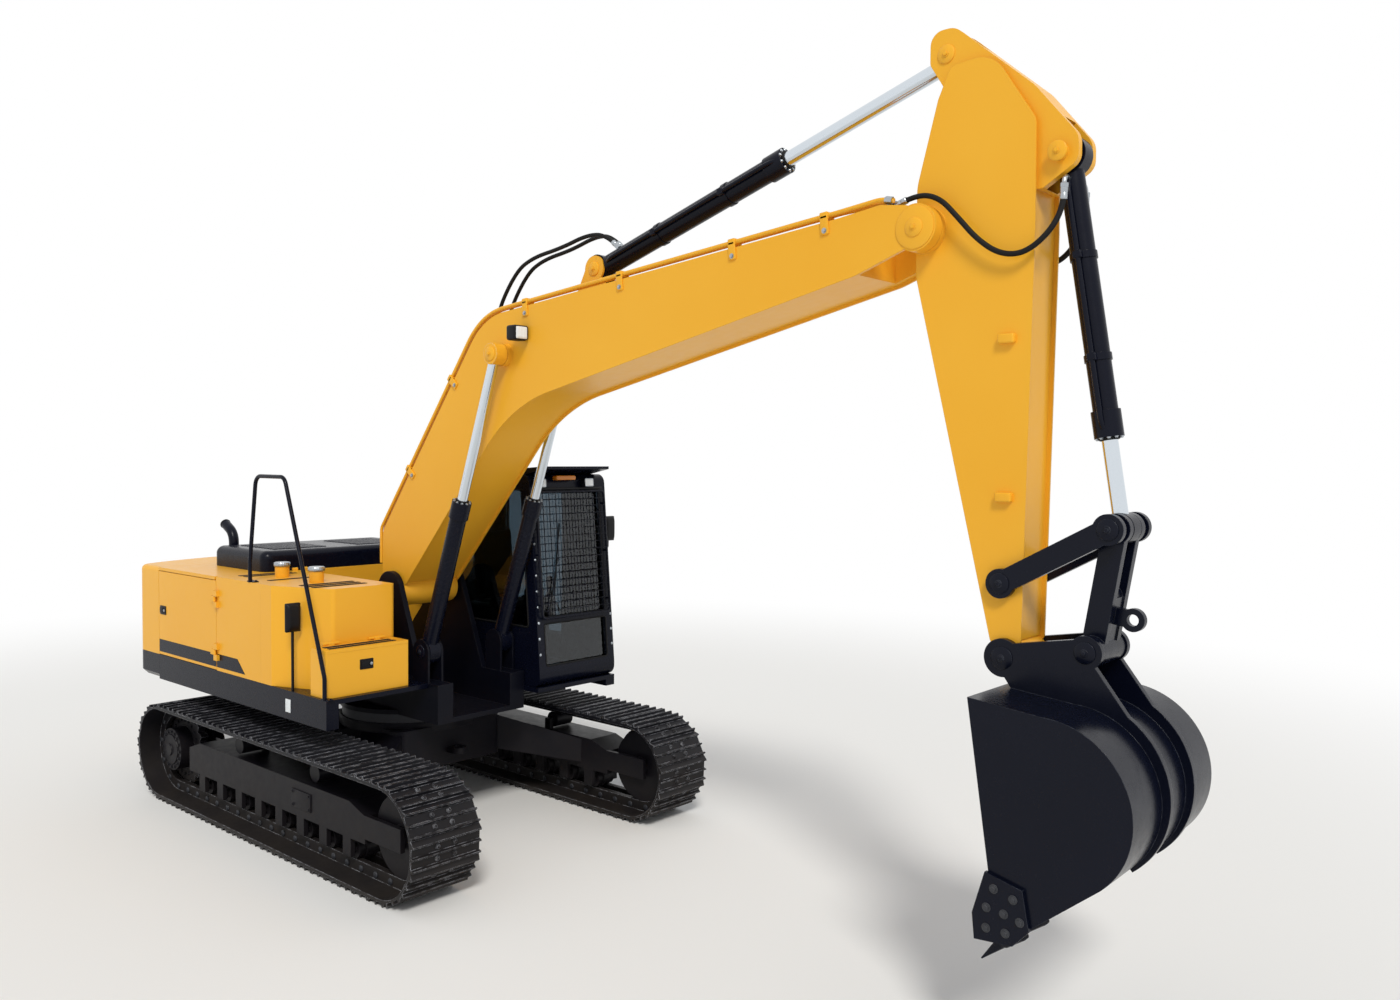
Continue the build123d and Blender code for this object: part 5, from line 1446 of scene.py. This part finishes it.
    def door_handle(self, bench: Bench) -> None:
        """Pull handle on the cab door, bowed clear of the panel.

        Args:
            bench: makes the pieces.
        """
        y = self.left
        bow = ((0.0, 1.74), (0.04, 1.76), (0.045, 1.85), (0.04, 1.94), (0.0, 1.96))
        path = bent_path([(0.6, y + out, z) for out, z in bow])
        lock = turned_shape([(0.016, 0.0), (0.016, 0.008), (0.011, 0.012), (0.0, 0.012)], 16)
        parts = [tube_shape(path, 0.011), lock.moved(np.array([[0.6, y, 1.66]]), turn_to((0.0, 1.0, 0.0)))]
        bench.piece("door_handle", Shape.joined(parts), PLASTIC, Body.CAB_DOOR, None)

    def levers(self, bench: Bench) -> None:
        """Rubber boots and shaped grips on the levers: a boot's radius falls with height and ripples.

        Args:
            bench: makes the pieces.
        """
        height = np.linspace(0.0, 0.09, 19)
        boot = turned_shape(list(zip(0.05 - 0.36 * height + 0.004 * np.cos(height * 420.0), height)), 24)
        grip = turned_shape([(0.018, 0.08), (0.031, 0.11), (0.036, 0.16), (0.034, 0.2), (0.02, 0.218),
                             (0.0, 0.22)], 20)
        places = np.array([[0.442, self.middle + side * self.console_side, 1.88] for side in (-1, 1)])
        bench.piece("lever_boots", boot.moved(places), RUBBER, Body.UPPER, None)
        bench.piece("lever_grips", grip.moved(places), PLASTIC, Body.UPPER, None)

    def seat(self, bench: Bench) -> None:
        """Seat on its bellows: two sewn cushions swollen as cloth, piping, and the suspension below.

        Args:
            bench: makes the pieces.
        """
        height = np.linspace(0.0, 1.0, 40)[:, None]
        angle = round_angles(48)
        fold = 1.0 + 0.05 * np.cos(height * 2.0 * np.pi * 7.0)
        x = self.bellows_half * fold * filled(np.cos(angle), 0.45)
        y = self.bellows_half * fold * filled(np.sin(angle), 0.45)
        grid = np.stack([x + self.seat_x, y + self.middle, np.broadcast_to(
            self.floor + height * (self.seat_low - self.floor), x.shape)], axis=-1)
        folds = Shape(grid.reshape(-1, 3), grid_faces(len(height), len(angle), True))
        bellows = bench.piece("seat_bellows", folds, RUBBER, Body.UPPER, Slot.SEAT_CLOTH)
        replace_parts(bellows, "operator_seat")
        low = self.seat_top
        tilt = np.arctan2(self.rest_lean, self.rest_top - low)
        rest = np.array([[np.cos(tilt), 0.0, -np.sin(tilt)], [0.0, 1.0, 0.0],
                         [np.sin(tilt), 0.0, np.cos(tilt)]])
        rest_middle = (self.seat_x - 0.21 - self.rest_lean / 2, self.middle, (low + self.rest_top) / 2)
        flat = ((self.seat_x, self.middle, (self.seat_low + low) / 2), np.eye(3), (0.49, 0.46, 0.095))
        upright = (rest_middle, rest, (0.095, 0.46, 0.66))
        for name, (place, turn, size) in (("seat_cushion", flat), ("seat_backrest", upright)):
            block = rounded_block(size, 0.035, 5).moved(np.array([place]), turn)
            cushion = bench.cushion(name, block, CLOTH, Body.UPPER, Slot.SEAT_CLOTH)
            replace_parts(cushion, "operator_seat")
            thin = int(np.argmin(size))
            wide = [axis for axis in range(3) if axis != thin]
            corners = np.zeros((4, 3))
            corners[:, wide] = rectangle(*(1.02 * np.array(size)[wide]))[:, :2]
            piping = loop_tube(soft_loop(corners, 0.05) @ turn.T + np.array(place), 0.006)
            bench.piece(f"{name}_piping", piping, RUBBER, Body.UPPER, Slot.SEAT_CLOTH)


@dataclass(frozen=True)
class Cylinder:
    """One cylinder: its pins' x and z, side, distance of its mouth, radii, bodies and the eye's finish."""

    base: tuple[float, float]
    eye: tuple[float, float]
    side: float
    mouth: float
    barrel: float
    rod: float
    body: Body
    rod_body: Body
    finish: Paint
    slot: Slot

    @property
    def axis(self) -> Array:
        """Direction from the base pin to the eye."""
        line = np.array([self.eye[0] - self.base[0], 0.0, self.eye[1] - self.base[1]])
        return line / np.linalg.norm(line)

    def along(self, distance: float) -> Array:
        """Point on the axis at a distance from the base pin."""
        return np.array([self.base[0], self.side, self.base[1]]) + distance * self.axis


@dataclass
class DiggingArm:
    """Hoses, pipes, pin covers, lamp and bolts of boom, arm, bucket and cylinders. Lengths are metres."""

    hose: float = 0.016
    clamp_face: float = 0.302
    bucket_face: float = 0.62
    cutter: float = 0.024
    pipe: float = 0.015
    pipe_inner: float = 0.24
    pipe_outer: float = 0.278
    pipe_end: Point = (0.976, 0.0, -0.217)
    clamp_drop: float = 0.095
    tab_side: float = 0.296
    tab_drop: float = 0.06
    tooth_pitch: float = 0.262
    lamp_place: tuple[float, float] = (-0.371, 4.275)
    dark_below: float = 3.0

    pipe_route = ((-0.092, 2.3), (-0.092, 2.622), (1.392, 4.478), (4.95, 4.83), (5.25, 4.845), (5.34, 4.825))
    clamp_shares = ((1, 0.3), (1, 0.72), (2, 0.16), (2, 0.46), (2, 0.76), (2, 0.97))
    arm_route = ((5.34, -0.24, 4.825), (5.47, -0.24, 4.87), (5.62, -0.24, 4.83), (5.74, -0.236, 4.7),
                 (5.86, -0.228, 4.56), (6.0, -0.222, 4.46), (6.15, -0.22, 4.45), (6.28, -0.19, 4.56),
                 (6.335, -0.15, 4.7), (6.335, -0.15, 4.8))
    crowd_route = ((1.3, 0.06, 4.2674), (1.3, 0.06, 4.48), (1.56, 0.06, 4.83), (1.78, 0.06, 4.93),
                   (2.13, 0.055, 4.97), (2.42, 0.045, 5.04), (2.62, 0.032, 5.02), (2.745, 0.024, 4.912))
    cylinders = (
        Cylinder((0.8, 1.6), (1.72, 4.12), 0.392, 1.4, 0.07, 0.042, Body.LIFT_LEFT, Body.LIFT_LEFT_ROD,
                 AMBER, Slot.BODY_PAINT),
        Cylinder((0.8, 1.6), (1.72, 4.12), -0.392, 1.4, 0.07, 0.042, Body.LIFT_RIGHT, Body.LIFT_RIGHT_ROD,
                 AMBER, Slot.BODY_PAINT),
        Cylinder((2.534, 4.76), (5.586, 5.693), 0.0, 1.88, 0.078, 0.05, Body.CROWD, Body.CROWD_ROD,
                 BLACK, Slot.DARK_PAINT),
        Cylinder((6.298, 4.999), (6.64, 2.935), 0.0, 1.59, 0.068, 0.044, Body.CURL, Body.CURL_ROD,
                 BLACK, Slot.DARK_PAINT),
    )
    # pin, distance of its outer face from the middle, radius of the cover, body
    pins = (
        ((5.489, 4.666), 0.29, 0.128, Body.BOOM),
        ((5.489, 4.666), 0.3, 0.058, Body.BOOM),
        ((2.534, 4.76), 0.078, 0.056, Body.BOOM),
        ((1.72, 4.12), 0.448, 0.06, Body.BOOM),
        ((5.586, 5.693), 0.122, 0.056, Body.ARM),
        ((6.298, 4.999), 0.165, 0.056, Body.ARM),
        ((6.028, 2.599), 0.2125, 0.06, Body.ARM),
        ((6.049, 2.176), 0.2075, 0.066, Body.ARM),
        ((6.53, 2.262), 0.2075, 0.06, Body.BUCKET),
        ((6.64, 2.935), 0.2125, 0.06, Body.ROCKER),
        ((0.153, 2.069), 0.3625, 0.08, Body.UPPER),
        ((0.8, 1.6), 0.4705, 0.06, Body.UPPER),
    )
    cutter_outline = ((6.185, 1.1), (6.4, 1.05), (6.44, 0.84), (6.35, 0.74), (6.13, 0.72), (6.115, 0.86))
    lug_places = ((6.03, 3.09), (6.03, 3.99))
    cutter_bolts = ((6.24, 1.02), (6.35, 0.99), (6.2, 0.91), (6.3, 0.9), (6.39, 0.88), (6.2, 0.8),
                    (6.31, 0.8))

    def build(self, bench: Bench) -> None:
        """Adds every piece of the digging arm.

        Args:
            bench: makes the pieces.
        """
        for make in (self.hoses, self.pipes, self.pipe_fittings, self.lamp, self.lugs, self.pin_covers,
                     self.glands, self.rod_eyes, self.barrel_pipes, self.bucket):
            make(bench)

    def hoses(self, bench: Bench) -> None:
        """Two hoses over the boom's tip and two up to the crowd cylinder, with crimped ends.

        Args:
            bench: makes the pieces.
        """
        sets = (("arm_hose", self.arm_route, (Body.BOOM, Body.ARM), 5.4, 6.2, "fitting"),
                ("crowd_hose", self.crowd_route, (Body.BOOM, Body.CROWD), 1.7, 2.6, "object"))
        for name, route, (near, far), start, end, far_end in sets:
            for side in (1.0, -1.0):
                points = np.array(route) * np.array([1.0, side, 1.0])
                word = "left" if points[0][1] > 0.0 else "right"
                line = smooth_line(f"{name}_{word}_line", points)
                piece = bench.solid(f"{name}_{word}", tube_shape(line, self.hose, 16), RUBBER, 60.0)
                for label, place, tangent, body in (("start", line[0], line[3] - line[0], near),
                                                    ("end", line[-1], line[-4] - line[-1], far)):
                    bench.piece(f"{name}_{word}_{label}", self.ferrule().moved(
                        place[None], turn_to(tuple(tangent))), ZINC, body, Slot.ROD_CHROME)
                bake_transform(piece)

    @staticmethod
    def ferrule() -> Shape:
        """Crimped sleeve with a hexagon nut behind it, along +Z from the hose's end.

        Returns:
            The shape.
        """
        sleeve = turned_shape([(0.017, 0.0), (0.021, 0.002), (0.021, 0.03), (0.0195, 0.033), (0.021, 0.036),
                               (0.021, 0.066), (0.0175, 0.07)], 20)
        nut = turned_shape([(0.0, -0.022), (0.02, -0.022), (0.024, -0.019), (0.024, 0.004),
                            (0.017, 0.006)], 6)
        return Shape.joined([sleeve, nut])

    def clamp_places(self) -> list[tuple[Array, Array]]:
        """Where each clamp sits on the pipes' route, and the route's direction there, both as x and z.

        Returns:
            Pairs of place and direction.
        """
        route = np.array(self.pipe_route)
        pairs = []
        for part, share in self.clamp_shares:
            along = route[part + 1] - route[part]
            pairs.append((route[part] + share * along, along / np.linalg.norm(along)))
        return pairs

    def pipes(self, bench: Bench) -> None:
        """Four steel pipes along the boom's top, their clamps, and the elbows at the curl cylinder.

        Args:
            bench: makes the pieces.
        """
        route = np.array(self.pipe_route)
        tubes = []
        clamps = []
        elbows = []
        for side in (1.0, -1.0):
            for y in (self.pipe_inner, self.pipe_outer):
                rise = np.where(route[:, 0] > 5.0, (y - self.pipe_inner) / 2, 0.0)
                line = eased_path(np.stack([route[:, 0], np.full(len(route), side * y), route[:, 1] + rise],
                                           axis=1), 0.04)
                line = np.concatenate([line[:9], self.bend(route, side * y), line[17:]])
                tubes.append(tube_shape(line, self.pipe))
            for flat, unit in self.clamp_places():
                up = np.array([-unit[1], 0.0, unit[0]])
                turn = np.stack([np.array([unit[0], 0.0, unit[1]]), np.array([0.0, 1.0, 0.0]), up], axis=1)
                middle = np.array([flat[0], side * (self.pipe_inner + self.pipe_outer) / 2, flat[1]])
                clamps.append(rounded_block((0.06, 0.086, 0.046), 0.008).moved(middle[None], turn))
                tab = np.array([flat[0], side * self.tab_side, flat[1]]) - self.tab_drop * up
                clamps.append(rounded_block((0.06, 0.012, 0.12), 0.004).moved(tab[None], turn))
            elbow = [(6.335, side * 0.15, 4.8), (6.335, side * 0.15, 4.862), (6.325, side * 0.06, 4.862)]
            elbows.append(tube_shape(eased_path(elbow, 0.045), 0.014))
        bench.piece("boom_pipes", Shape.joined(tubes), AMBER, Body.BOOM, Slot.BODY_PAINT)
        bench.piece("pipe_clamps", Shape.joined(clamps), AMBER, Body.BOOM, Slot.BODY_PAINT)
        bench.piece("curl_elbows", Shape.joined(elbows), ZINC, Body.ARM, Slot.ROD_CHROME)

    @staticmethod
    def bend(route: Array, y: float, reach: float = 0.29, steps: int = 20) -> Array:
        """Wide bend of a pipe over the boom's shoulder, eased as a soft loop's corner is.

        Args:
            route: the pipe's corners, of which the third is eased.
            y: side of the pipe.
            reach: distance from the corner at which the bend starts.
            steps: points on the bend.

        Returns:
            Rows of x, y, z.
        """
        before, corner, after = route[1], route[2], route[3]
        start = corner + reach * (before - corner) / np.linalg.norm(before - corner)
        end = corner + reach * (after - corner) / np.linalg.norm(after - corner)
        t = np.linspace(0.0, 1.0, steps)[:, None]
        return np.insert(eased(start, corner, end, t), 1, y, axis=1)

    def lugs(self, bench: Bench) -> None:
        """Small welded lugs on both sides of the arm.

        Args:
            bench: makes the pieces.
        """
        places = np.array([[x, side * 0.18, z] for x, z in self.lug_places for side in (-1.0, 1.0)])
        bench.piece("arm_lugs", rounded_block((0.1, 0.045, 0.055), 0.01).moved(places), AMBER, Body.ARM,
                    Slot.BODY_PAINT)

    def pipe_fittings(self, bench: Bench) -> None:
        """Nuts at the pipes' ends, and a bolt through each clamp's tab.

        Args:
            bench: makes the pieces.
        """
        route = np.array(self.pipe_route)
        ends = []
        bolts = []
        for side in (1.0, -1.0):
            for y in (self.pipe_inner, self.pipe_outer):
                nut = turned_shape([(0.0155, -0.06), (0.024, -0.058), (0.024, -0.01), (0.0155, -0.008)], 6)
                end = np.array([[route[-1][0], side * y, route[-1][1] + (y - self.pipe_inner) / 2]])
                ends.append(nut.moved(end, turn_to(self.pipe_end)))
            for flat, unit in self.clamp_places():
                low = flat - self.clamp_drop * np.array([-unit[1], unit[0]])
                place = np.array([[low[0], side * self.clamp_face, low[1]]])
                bolts.append(bolt_shape(0.012).moved(place, turn_to((0.0, side, 0.0))))
        bench.piece("pipe_nuts", Shape.joined(ends), ZINC, Body.BOOM, Slot.ROD_CHROME)
        bench.piece("clamp_bolts", Shape.joined(bolts), ZINC, Body.BOOM, Slot.ROD_CHROME)

    def lamp(self, bench: Bench) -> None:
        """Work lamp on the boom: a box on its tab, with a ribbed lens and a rim.

        Args:
            bench: makes the pieces.
        """
        y, z = self.lamp_place
        place = np.array([[2.015, y, z]])
        box = rounded_block((0.11, 0.138, 0.12), 0.02).moved(np.array([[1.96, y, z]]))
        tab = rounded_block((0.06, 0.03, 0.1), 0.006).moved(np.array([[1.95, -0.3, z]]))
        bench.piece("boom_lamp_box", Shape.joined([box, tab]), PLASTIC, Body.BOOM, None)
        lens = lens_shape(0.122, 0.104, 0.016, 8)
        bench.piece("boom_lamp_lens", lens.moved(place, LOOK_FORWARD), LENS, Body.BOOM, None)
        rim = loop_tube(soft_loop(rectangle(0.122, 0.104, 0.002), 0.015), 0.005)
        bench.piece("boom_lamp_rim", rim.moved(place, LOOK_FORWARD), PLASTIC, Body.BOOM, None)

    def pin_covers(self, bench: Bench) -> None:
        """Domed cover with a centre bolt on both ends of each pin.

        Args:
            bench: makes the pieces.
        """
        for number, ((x, z), face, radius, body) in enumerate(self.pins):
            finish, slot = (BUCKET_BLACK, Slot.DARK_PAINT)
            if body in (Body.BOOM, Body.ARM) and z > self.dark_below:
                finish, slot = (AMBER, Slot.BODY_PAINT)
            cover = turned_shape([(radius, 0.0), (radius, 0.005), (0.85 * radius, 0.011), (0.0, 0.012)], 32)
            parts = []
            for side in (1.0, -1.0):
                turn = turn_to((0.0, side, 0.0))
                parts.append(cover.moved(np.array([[x, side * face, z]]), turn))
                parts.append(bolt_shape(0.014).moved(np.array([[x, side * (face + 0.0115), z]]), turn))
            bench.piece(f"pin_cover_{number}", Shape.joined(parts), finish, body, slot)

    def glands(self, bench: Bench) -> None:
        """Bolt ring and wiper seal at each cylinder's mouth.

        Args:
            bench: makes the pieces.
        """
        for one in self.cylinders:
            turn = turn_to(tuple(one.axis))
            mouth = one.along(one.mouth)
            middle = (one.rod + one.barrel + 0.012) / 2 + 0.004
            bolts = bolt_shape(0.0095).moved(circle_places(tuple(mouth), middle, 10, tuple(one.axis)), turn)
            bench.piece(f"{one.body.value}_bolts", bolts, ZINC, one.body, Slot.ROD_CHROME)
            seal = turned_shape([(one.rod + 0.001, 0.0), (one.rod + 0.013, 0.0), (one.rod + 0.011, 0.012),
                                 (one.rod + 0.001, 0.016)], 40)
            bench.piece(f"{one.body.value}_seal", seal.moved(mouth[None], turn), RUBBER, one.body, None)

    def barrel_pipes(self, bench: Bench) -> None:
        """Oil pipe along the crowd and curl barrels to their mouths, held by two bands on each.

        Args:
            bench: makes the pieces.
        """
        out = np.array([0.0, -1.0, 0.0])
        saddle = rounded_block((0.05, 0.05, 0.044), 0.008)
        for one in self.cylinders[2:]:
            turn = turn_to(tuple(one.axis))
            inner, outer = one.barrel + 0.0005, one.barrel + 0.007
            ring = turned_shape([(inner, -0.022), (outer, -0.02), (outer, 0.02), (inner, 0.022)], 40)
            places = np.array([one.along(share * one.mouth) for share in (0.36, 0.72)])
            sunk, lift = (one.barrel - 0.004) * out, (one.barrel + self.pipe + 0.008) * out
            run = [one.along(0.15) + sunk, one.along(0.21) + lift, one.along(one.mouth - 0.1) + lift,
                   one.along(one.mouth - 0.04) + sunk]
            parts = [ring.moved(places, turn), tube_shape(eased_path(run, 0.03), self.pipe),
                     saddle.moved(places + (one.barrel + 0.014) * out, turn)]
            bench.piece(f"{one.body.value}_pipe", Shape.joined(parts), BLACK, one.body, Slot.DARK_PAINT)

    def rod_eyes(self, bench: Bench) -> None:
        """Painted sleeve round each rod's eye, up to its plated shank.

        Args:
            bench: makes the pieces.
        """
        half, radius, bore, soft = 0.0555, 0.0862, 0.05, 0.0025
        sleeve = turned_shape([(bore, -half), (radius - 0.0022, -half), (radius, soft - half),
                               (radius, half - soft), (radius - 0.0022, half), (bore, half)], 40)
        for one in self.cylinders:
            place = np.array([[one.eye[0], one.side, one.eye[1]]])
            eye = sleeve.moved(place, turn_to((0.0, 1.0, 0.0)))
            bench.piece(f"{one.rod_body.value}_eye", eye, one.finish, one.rod_body, one.slot)

    def bucket(self, bench: Bench) -> None:
        """Side cutters with their bolts, and teeth on adapters that taper to a chisel point.

        Args:
            bench: makes the pieces.
        """
        bolts = []
        plates = []
        for side in (1.0, -1.0):
            outer = side * (self.bucket_face + self.cutter)
            plates.append(plate_shape(list(self.cutter_outline), side * (self.bucket_face - 0.002), outer))
            places = np.array([[x, outer, z] for x, z in self.cutter_bolts])
            bolts.append(bolt_shape(0.017).moved(places, turn_to((0.0, side, 0.0))))
        bench.piece("cutter_bolts", Shape.joined(bolts), CAST, Body.BUCKET, Slot.DARK_PAINT)
        bench.piece("side_cutters", Shape.joined(plates), BUCKET_BLACK, Body.BUCKET, Slot.DARK_PAINT)
        across = (np.arange(5) - 2) * self.tooth_pitch
        teeth = self.tooth().moved(np.stack([0 * across, across, 0 * across], axis=1))
        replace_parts(bench.piece("teeth", teeth, BUCKET_BLACK, Body.BUCKET, Slot.DARK_PAINT), "bucket_teeth")

    @staticmethod
    def tooth(rows: int = 24, columns: int = 32) -> Shape:
        """One tooth: a squared ellipse carried from lip to tip, flat there and stepped at its socket.

        Args:
            rows: points along the tooth.
            columns: points round it.

        Returns:
            The shape, at y = 0.
        """
        share = np.linspace(0.0, 1.0, rows)
        root, tip = np.array([6.33, 0.0, 0.79]), np.array([6.132, 0.0, 0.582])
        axis = (tip - root) / np.linalg.norm(tip - root)
        up = np.array([-axis[2], 0.0, axis[0]])
        step = np.where(share < 0.42, 1.0, 0.86)
        high = step * (0.062 * (1 - share) + 0.006 * share)
        wide = step * (0.05 * (1 - share) + 0.036 * share)
        angle = round_angles(columns)
        round_y = filled(np.cos(angle), 0.4)
        round_z = filled(np.sin(angle), 0.5)
        middle = root + share[:, None] * (tip - root)
        grid = middle[:, None] + wide[:, None, None] * round_y[:, None] * np.array([0.0, 1.0, 0.0])
        grid = capped(grid + high[:, None, None] * round_z[:, None] * up, middle)
        return Shape(grid.reshape(-1, 3), grid_faces(rows + 2, columns, True))


@dataclass
class Stage:
    """Floor, light and camera. Lengths are metres."""

    floor_radius: float = 90.0
    eye: Point = (8.87, -6.066, 3.303)
    yaw: float = 131.09
    pitch: float = -2.21
    roll: float = 0.5
    lens: float = 28.49
    sun_from: Point = (0.72, -0.62, 0.95)
    sun_energy: float = 1.9
    sun_angle: float = 14.0
    sky_strength: float = 0.55
    fade_start: float = 7.0
    fade_end: float = 16.0

    def build(self) -> None:
        """Makes floor, world, lamps and camera."""
        self.make_floor()
        self.make_world()
        self.make_sun()
        self.make_camera()
        bpy.context.scene.view_settings.view_transform = "Standard"

    def make_floor(self) -> None:
        """Round pale floor that fades to the white of the backdrop far from the machine."""
        angle = round_angles(96)
        radius = np.array([0.0, 8.0, 20.0, 45.0, self.floor_radius])
        grid = np.stack([radius[:, None] * np.cos(angle), radius[:, None] * np.sin(angle),
                         np.zeros((len(radius), len(angle)))], axis=-1)
        mesh = bpy.data.meshes.new("studio_floor")
        faces = grid_faces(len(radius), len(angle), True)
        mesh.from_pydata(grid.reshape(-1, 3).tolist(), [], faces.tolist())
        material, tree, shader = new_material("pale_studio_floor")
        place = add_node(tree, "ShaderNodeTexCoord").outputs["Object"]
        reach = add_node(tree, "ShaderNodeVectorMath", {0: place}, operation="LENGTH")
        fade = add_node(tree, "ShaderNodeMapRange", {
            "Value": reach.outputs["Value"], "From Min": self.fade_start, "From Max": self.fade_end},
            interpolation_type="SMOOTHSTEP")
        shader.inputs["Base Color"].default_value = linear("#F1F1EF")
        shader.inputs["Roughness"].default_value = 0.9
        white = add_node(tree, "ShaderNodeEmission", {"Color": (1.0, 1.0, 1.0, 1.0), "Strength": 1.0})
        both = add_node(tree, "ShaderNodeMixShader", {
            "Fac": fade.outputs["Result"], 1: shader.outputs["BSDF"], 2: white.outputs["Emission"]})
        tree.links.new(both.outputs["Shader"], tree.nodes["Material Output"].inputs["Surface"])
        mesh.materials.append(material)
        floor = bpy.data.objects.new("studio_floor", mesh)
        bpy.context.scene.collection.objects.link(floor)

    def make_world(self) -> None:
        """World that lights softly, and shows white to the camera, to gloss and through glass."""
        world = bpy.data.worlds.new("studio_world")
        world.use_nodes = True
        tree = world.node_tree
        tree.nodes.clear()
        path = add_node(tree, "ShaderNodeLightPath")
        seen = add_node(tree, "ShaderNodeMath", {
            0: path.outputs["Is Camera Ray"], 1: path.outputs["Is Glossy Ray"]}, operation="MAXIMUM")
        seen = add_node(tree, "ShaderNodeMath", {
            0: seen.outputs["Value"], 1: path.outputs["Is Transmission Ray"]}, operation="MAXIMUM")
        soft = add_node(tree, "ShaderNodeBackground", {
            "Color": linear("#F4F6FA"), "Strength": self.sky_strength})
        white = add_node(tree, "ShaderNodeBackground", {"Color": (1.0, 1.0, 1.0, 1.0), "Strength": 1.0})
        both = add_node(tree, "ShaderNodeMixShader", {
            "Fac": seen.outputs["Value"], 1: soft.outputs["Background"], 2: white.outputs["Background"]})
        add_node(tree, "ShaderNodeOutputWorld", {"Surface": both.outputs["Shader"]})
        bpy.context.scene.world = world

    def make_sun(self) -> None:
        """One broad sun from the front right, as the photograph's shade shows."""
        lamp = bpy.data.lights.new("broad_sun", "SUN")
        lamp.energy = self.sun_energy
        lamp.angle = float(np.radians(self.sun_angle))
        lamp.color = (1.0, 0.97, 0.92)
        sun = bpy.data.objects.new("broad_sun", lamp)
        sun.rotation_euler = Vector(self.sun_from).to_track_quat("Z", "Y").to_euler()
        sun.location = Vector(self.sun_from) * 20.0
        bpy.context.scene.collection.objects.link(sun)

    def make_camera(self) -> None:
        """Camera at the photograph's viewing angle: forward from yaw and pitch, then rolled."""
        yaw, pitch, roll = np.radians([self.yaw, self.pitch, self.roll])
        forward = np.array([np.cos(yaw) * np.cos(pitch), np.sin(yaw) * np.cos(pitch), np.sin(pitch)])
        right = np.array([np.sin(yaw), -np.cos(yaw), 0.0])
        up = np.cross(right, forward)
        across = np.cos(roll) * right + np.sin(roll) * up
        upward = np.cos(roll) * up - np.sin(roll) * right
        data = bpy.data.cameras.new("photo_camera")
        data.sensor_width = 36.0
        data.sensor_fit = "HORIZONTAL"
        data.lens = self.lens
        data.clip_end = 400.0
        camera = bpy.data.objects.new("photo_camera", data)
        turn = np.eye(4)
        turn[:3, :3] = np.stack([across, upward, -forward], axis=1)
        turn[:3, 3] = self.eye
        camera.matrix_world = Matrix(turn.tolist())
        bpy.context.scene.collection.objects.link(camera)
        bpy.context.scene.camera = camera


def main() -> None:
    """Loads the model, dresses it and sets the stage."""
    logging.basicConfig(level=logging.INFO, format="%(name)s %(message)s")
    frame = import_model()
    bench = Bench(frame)
    bench.dress_nodes()
    Stage().build()
    for assembly in (DiggingArm(), Cab(), UpperBody(), Undercarriage()):
        assembly.build(bench)
    log.info("%d pieces added", bench.count)


if __name__ == "__main__":
    main()
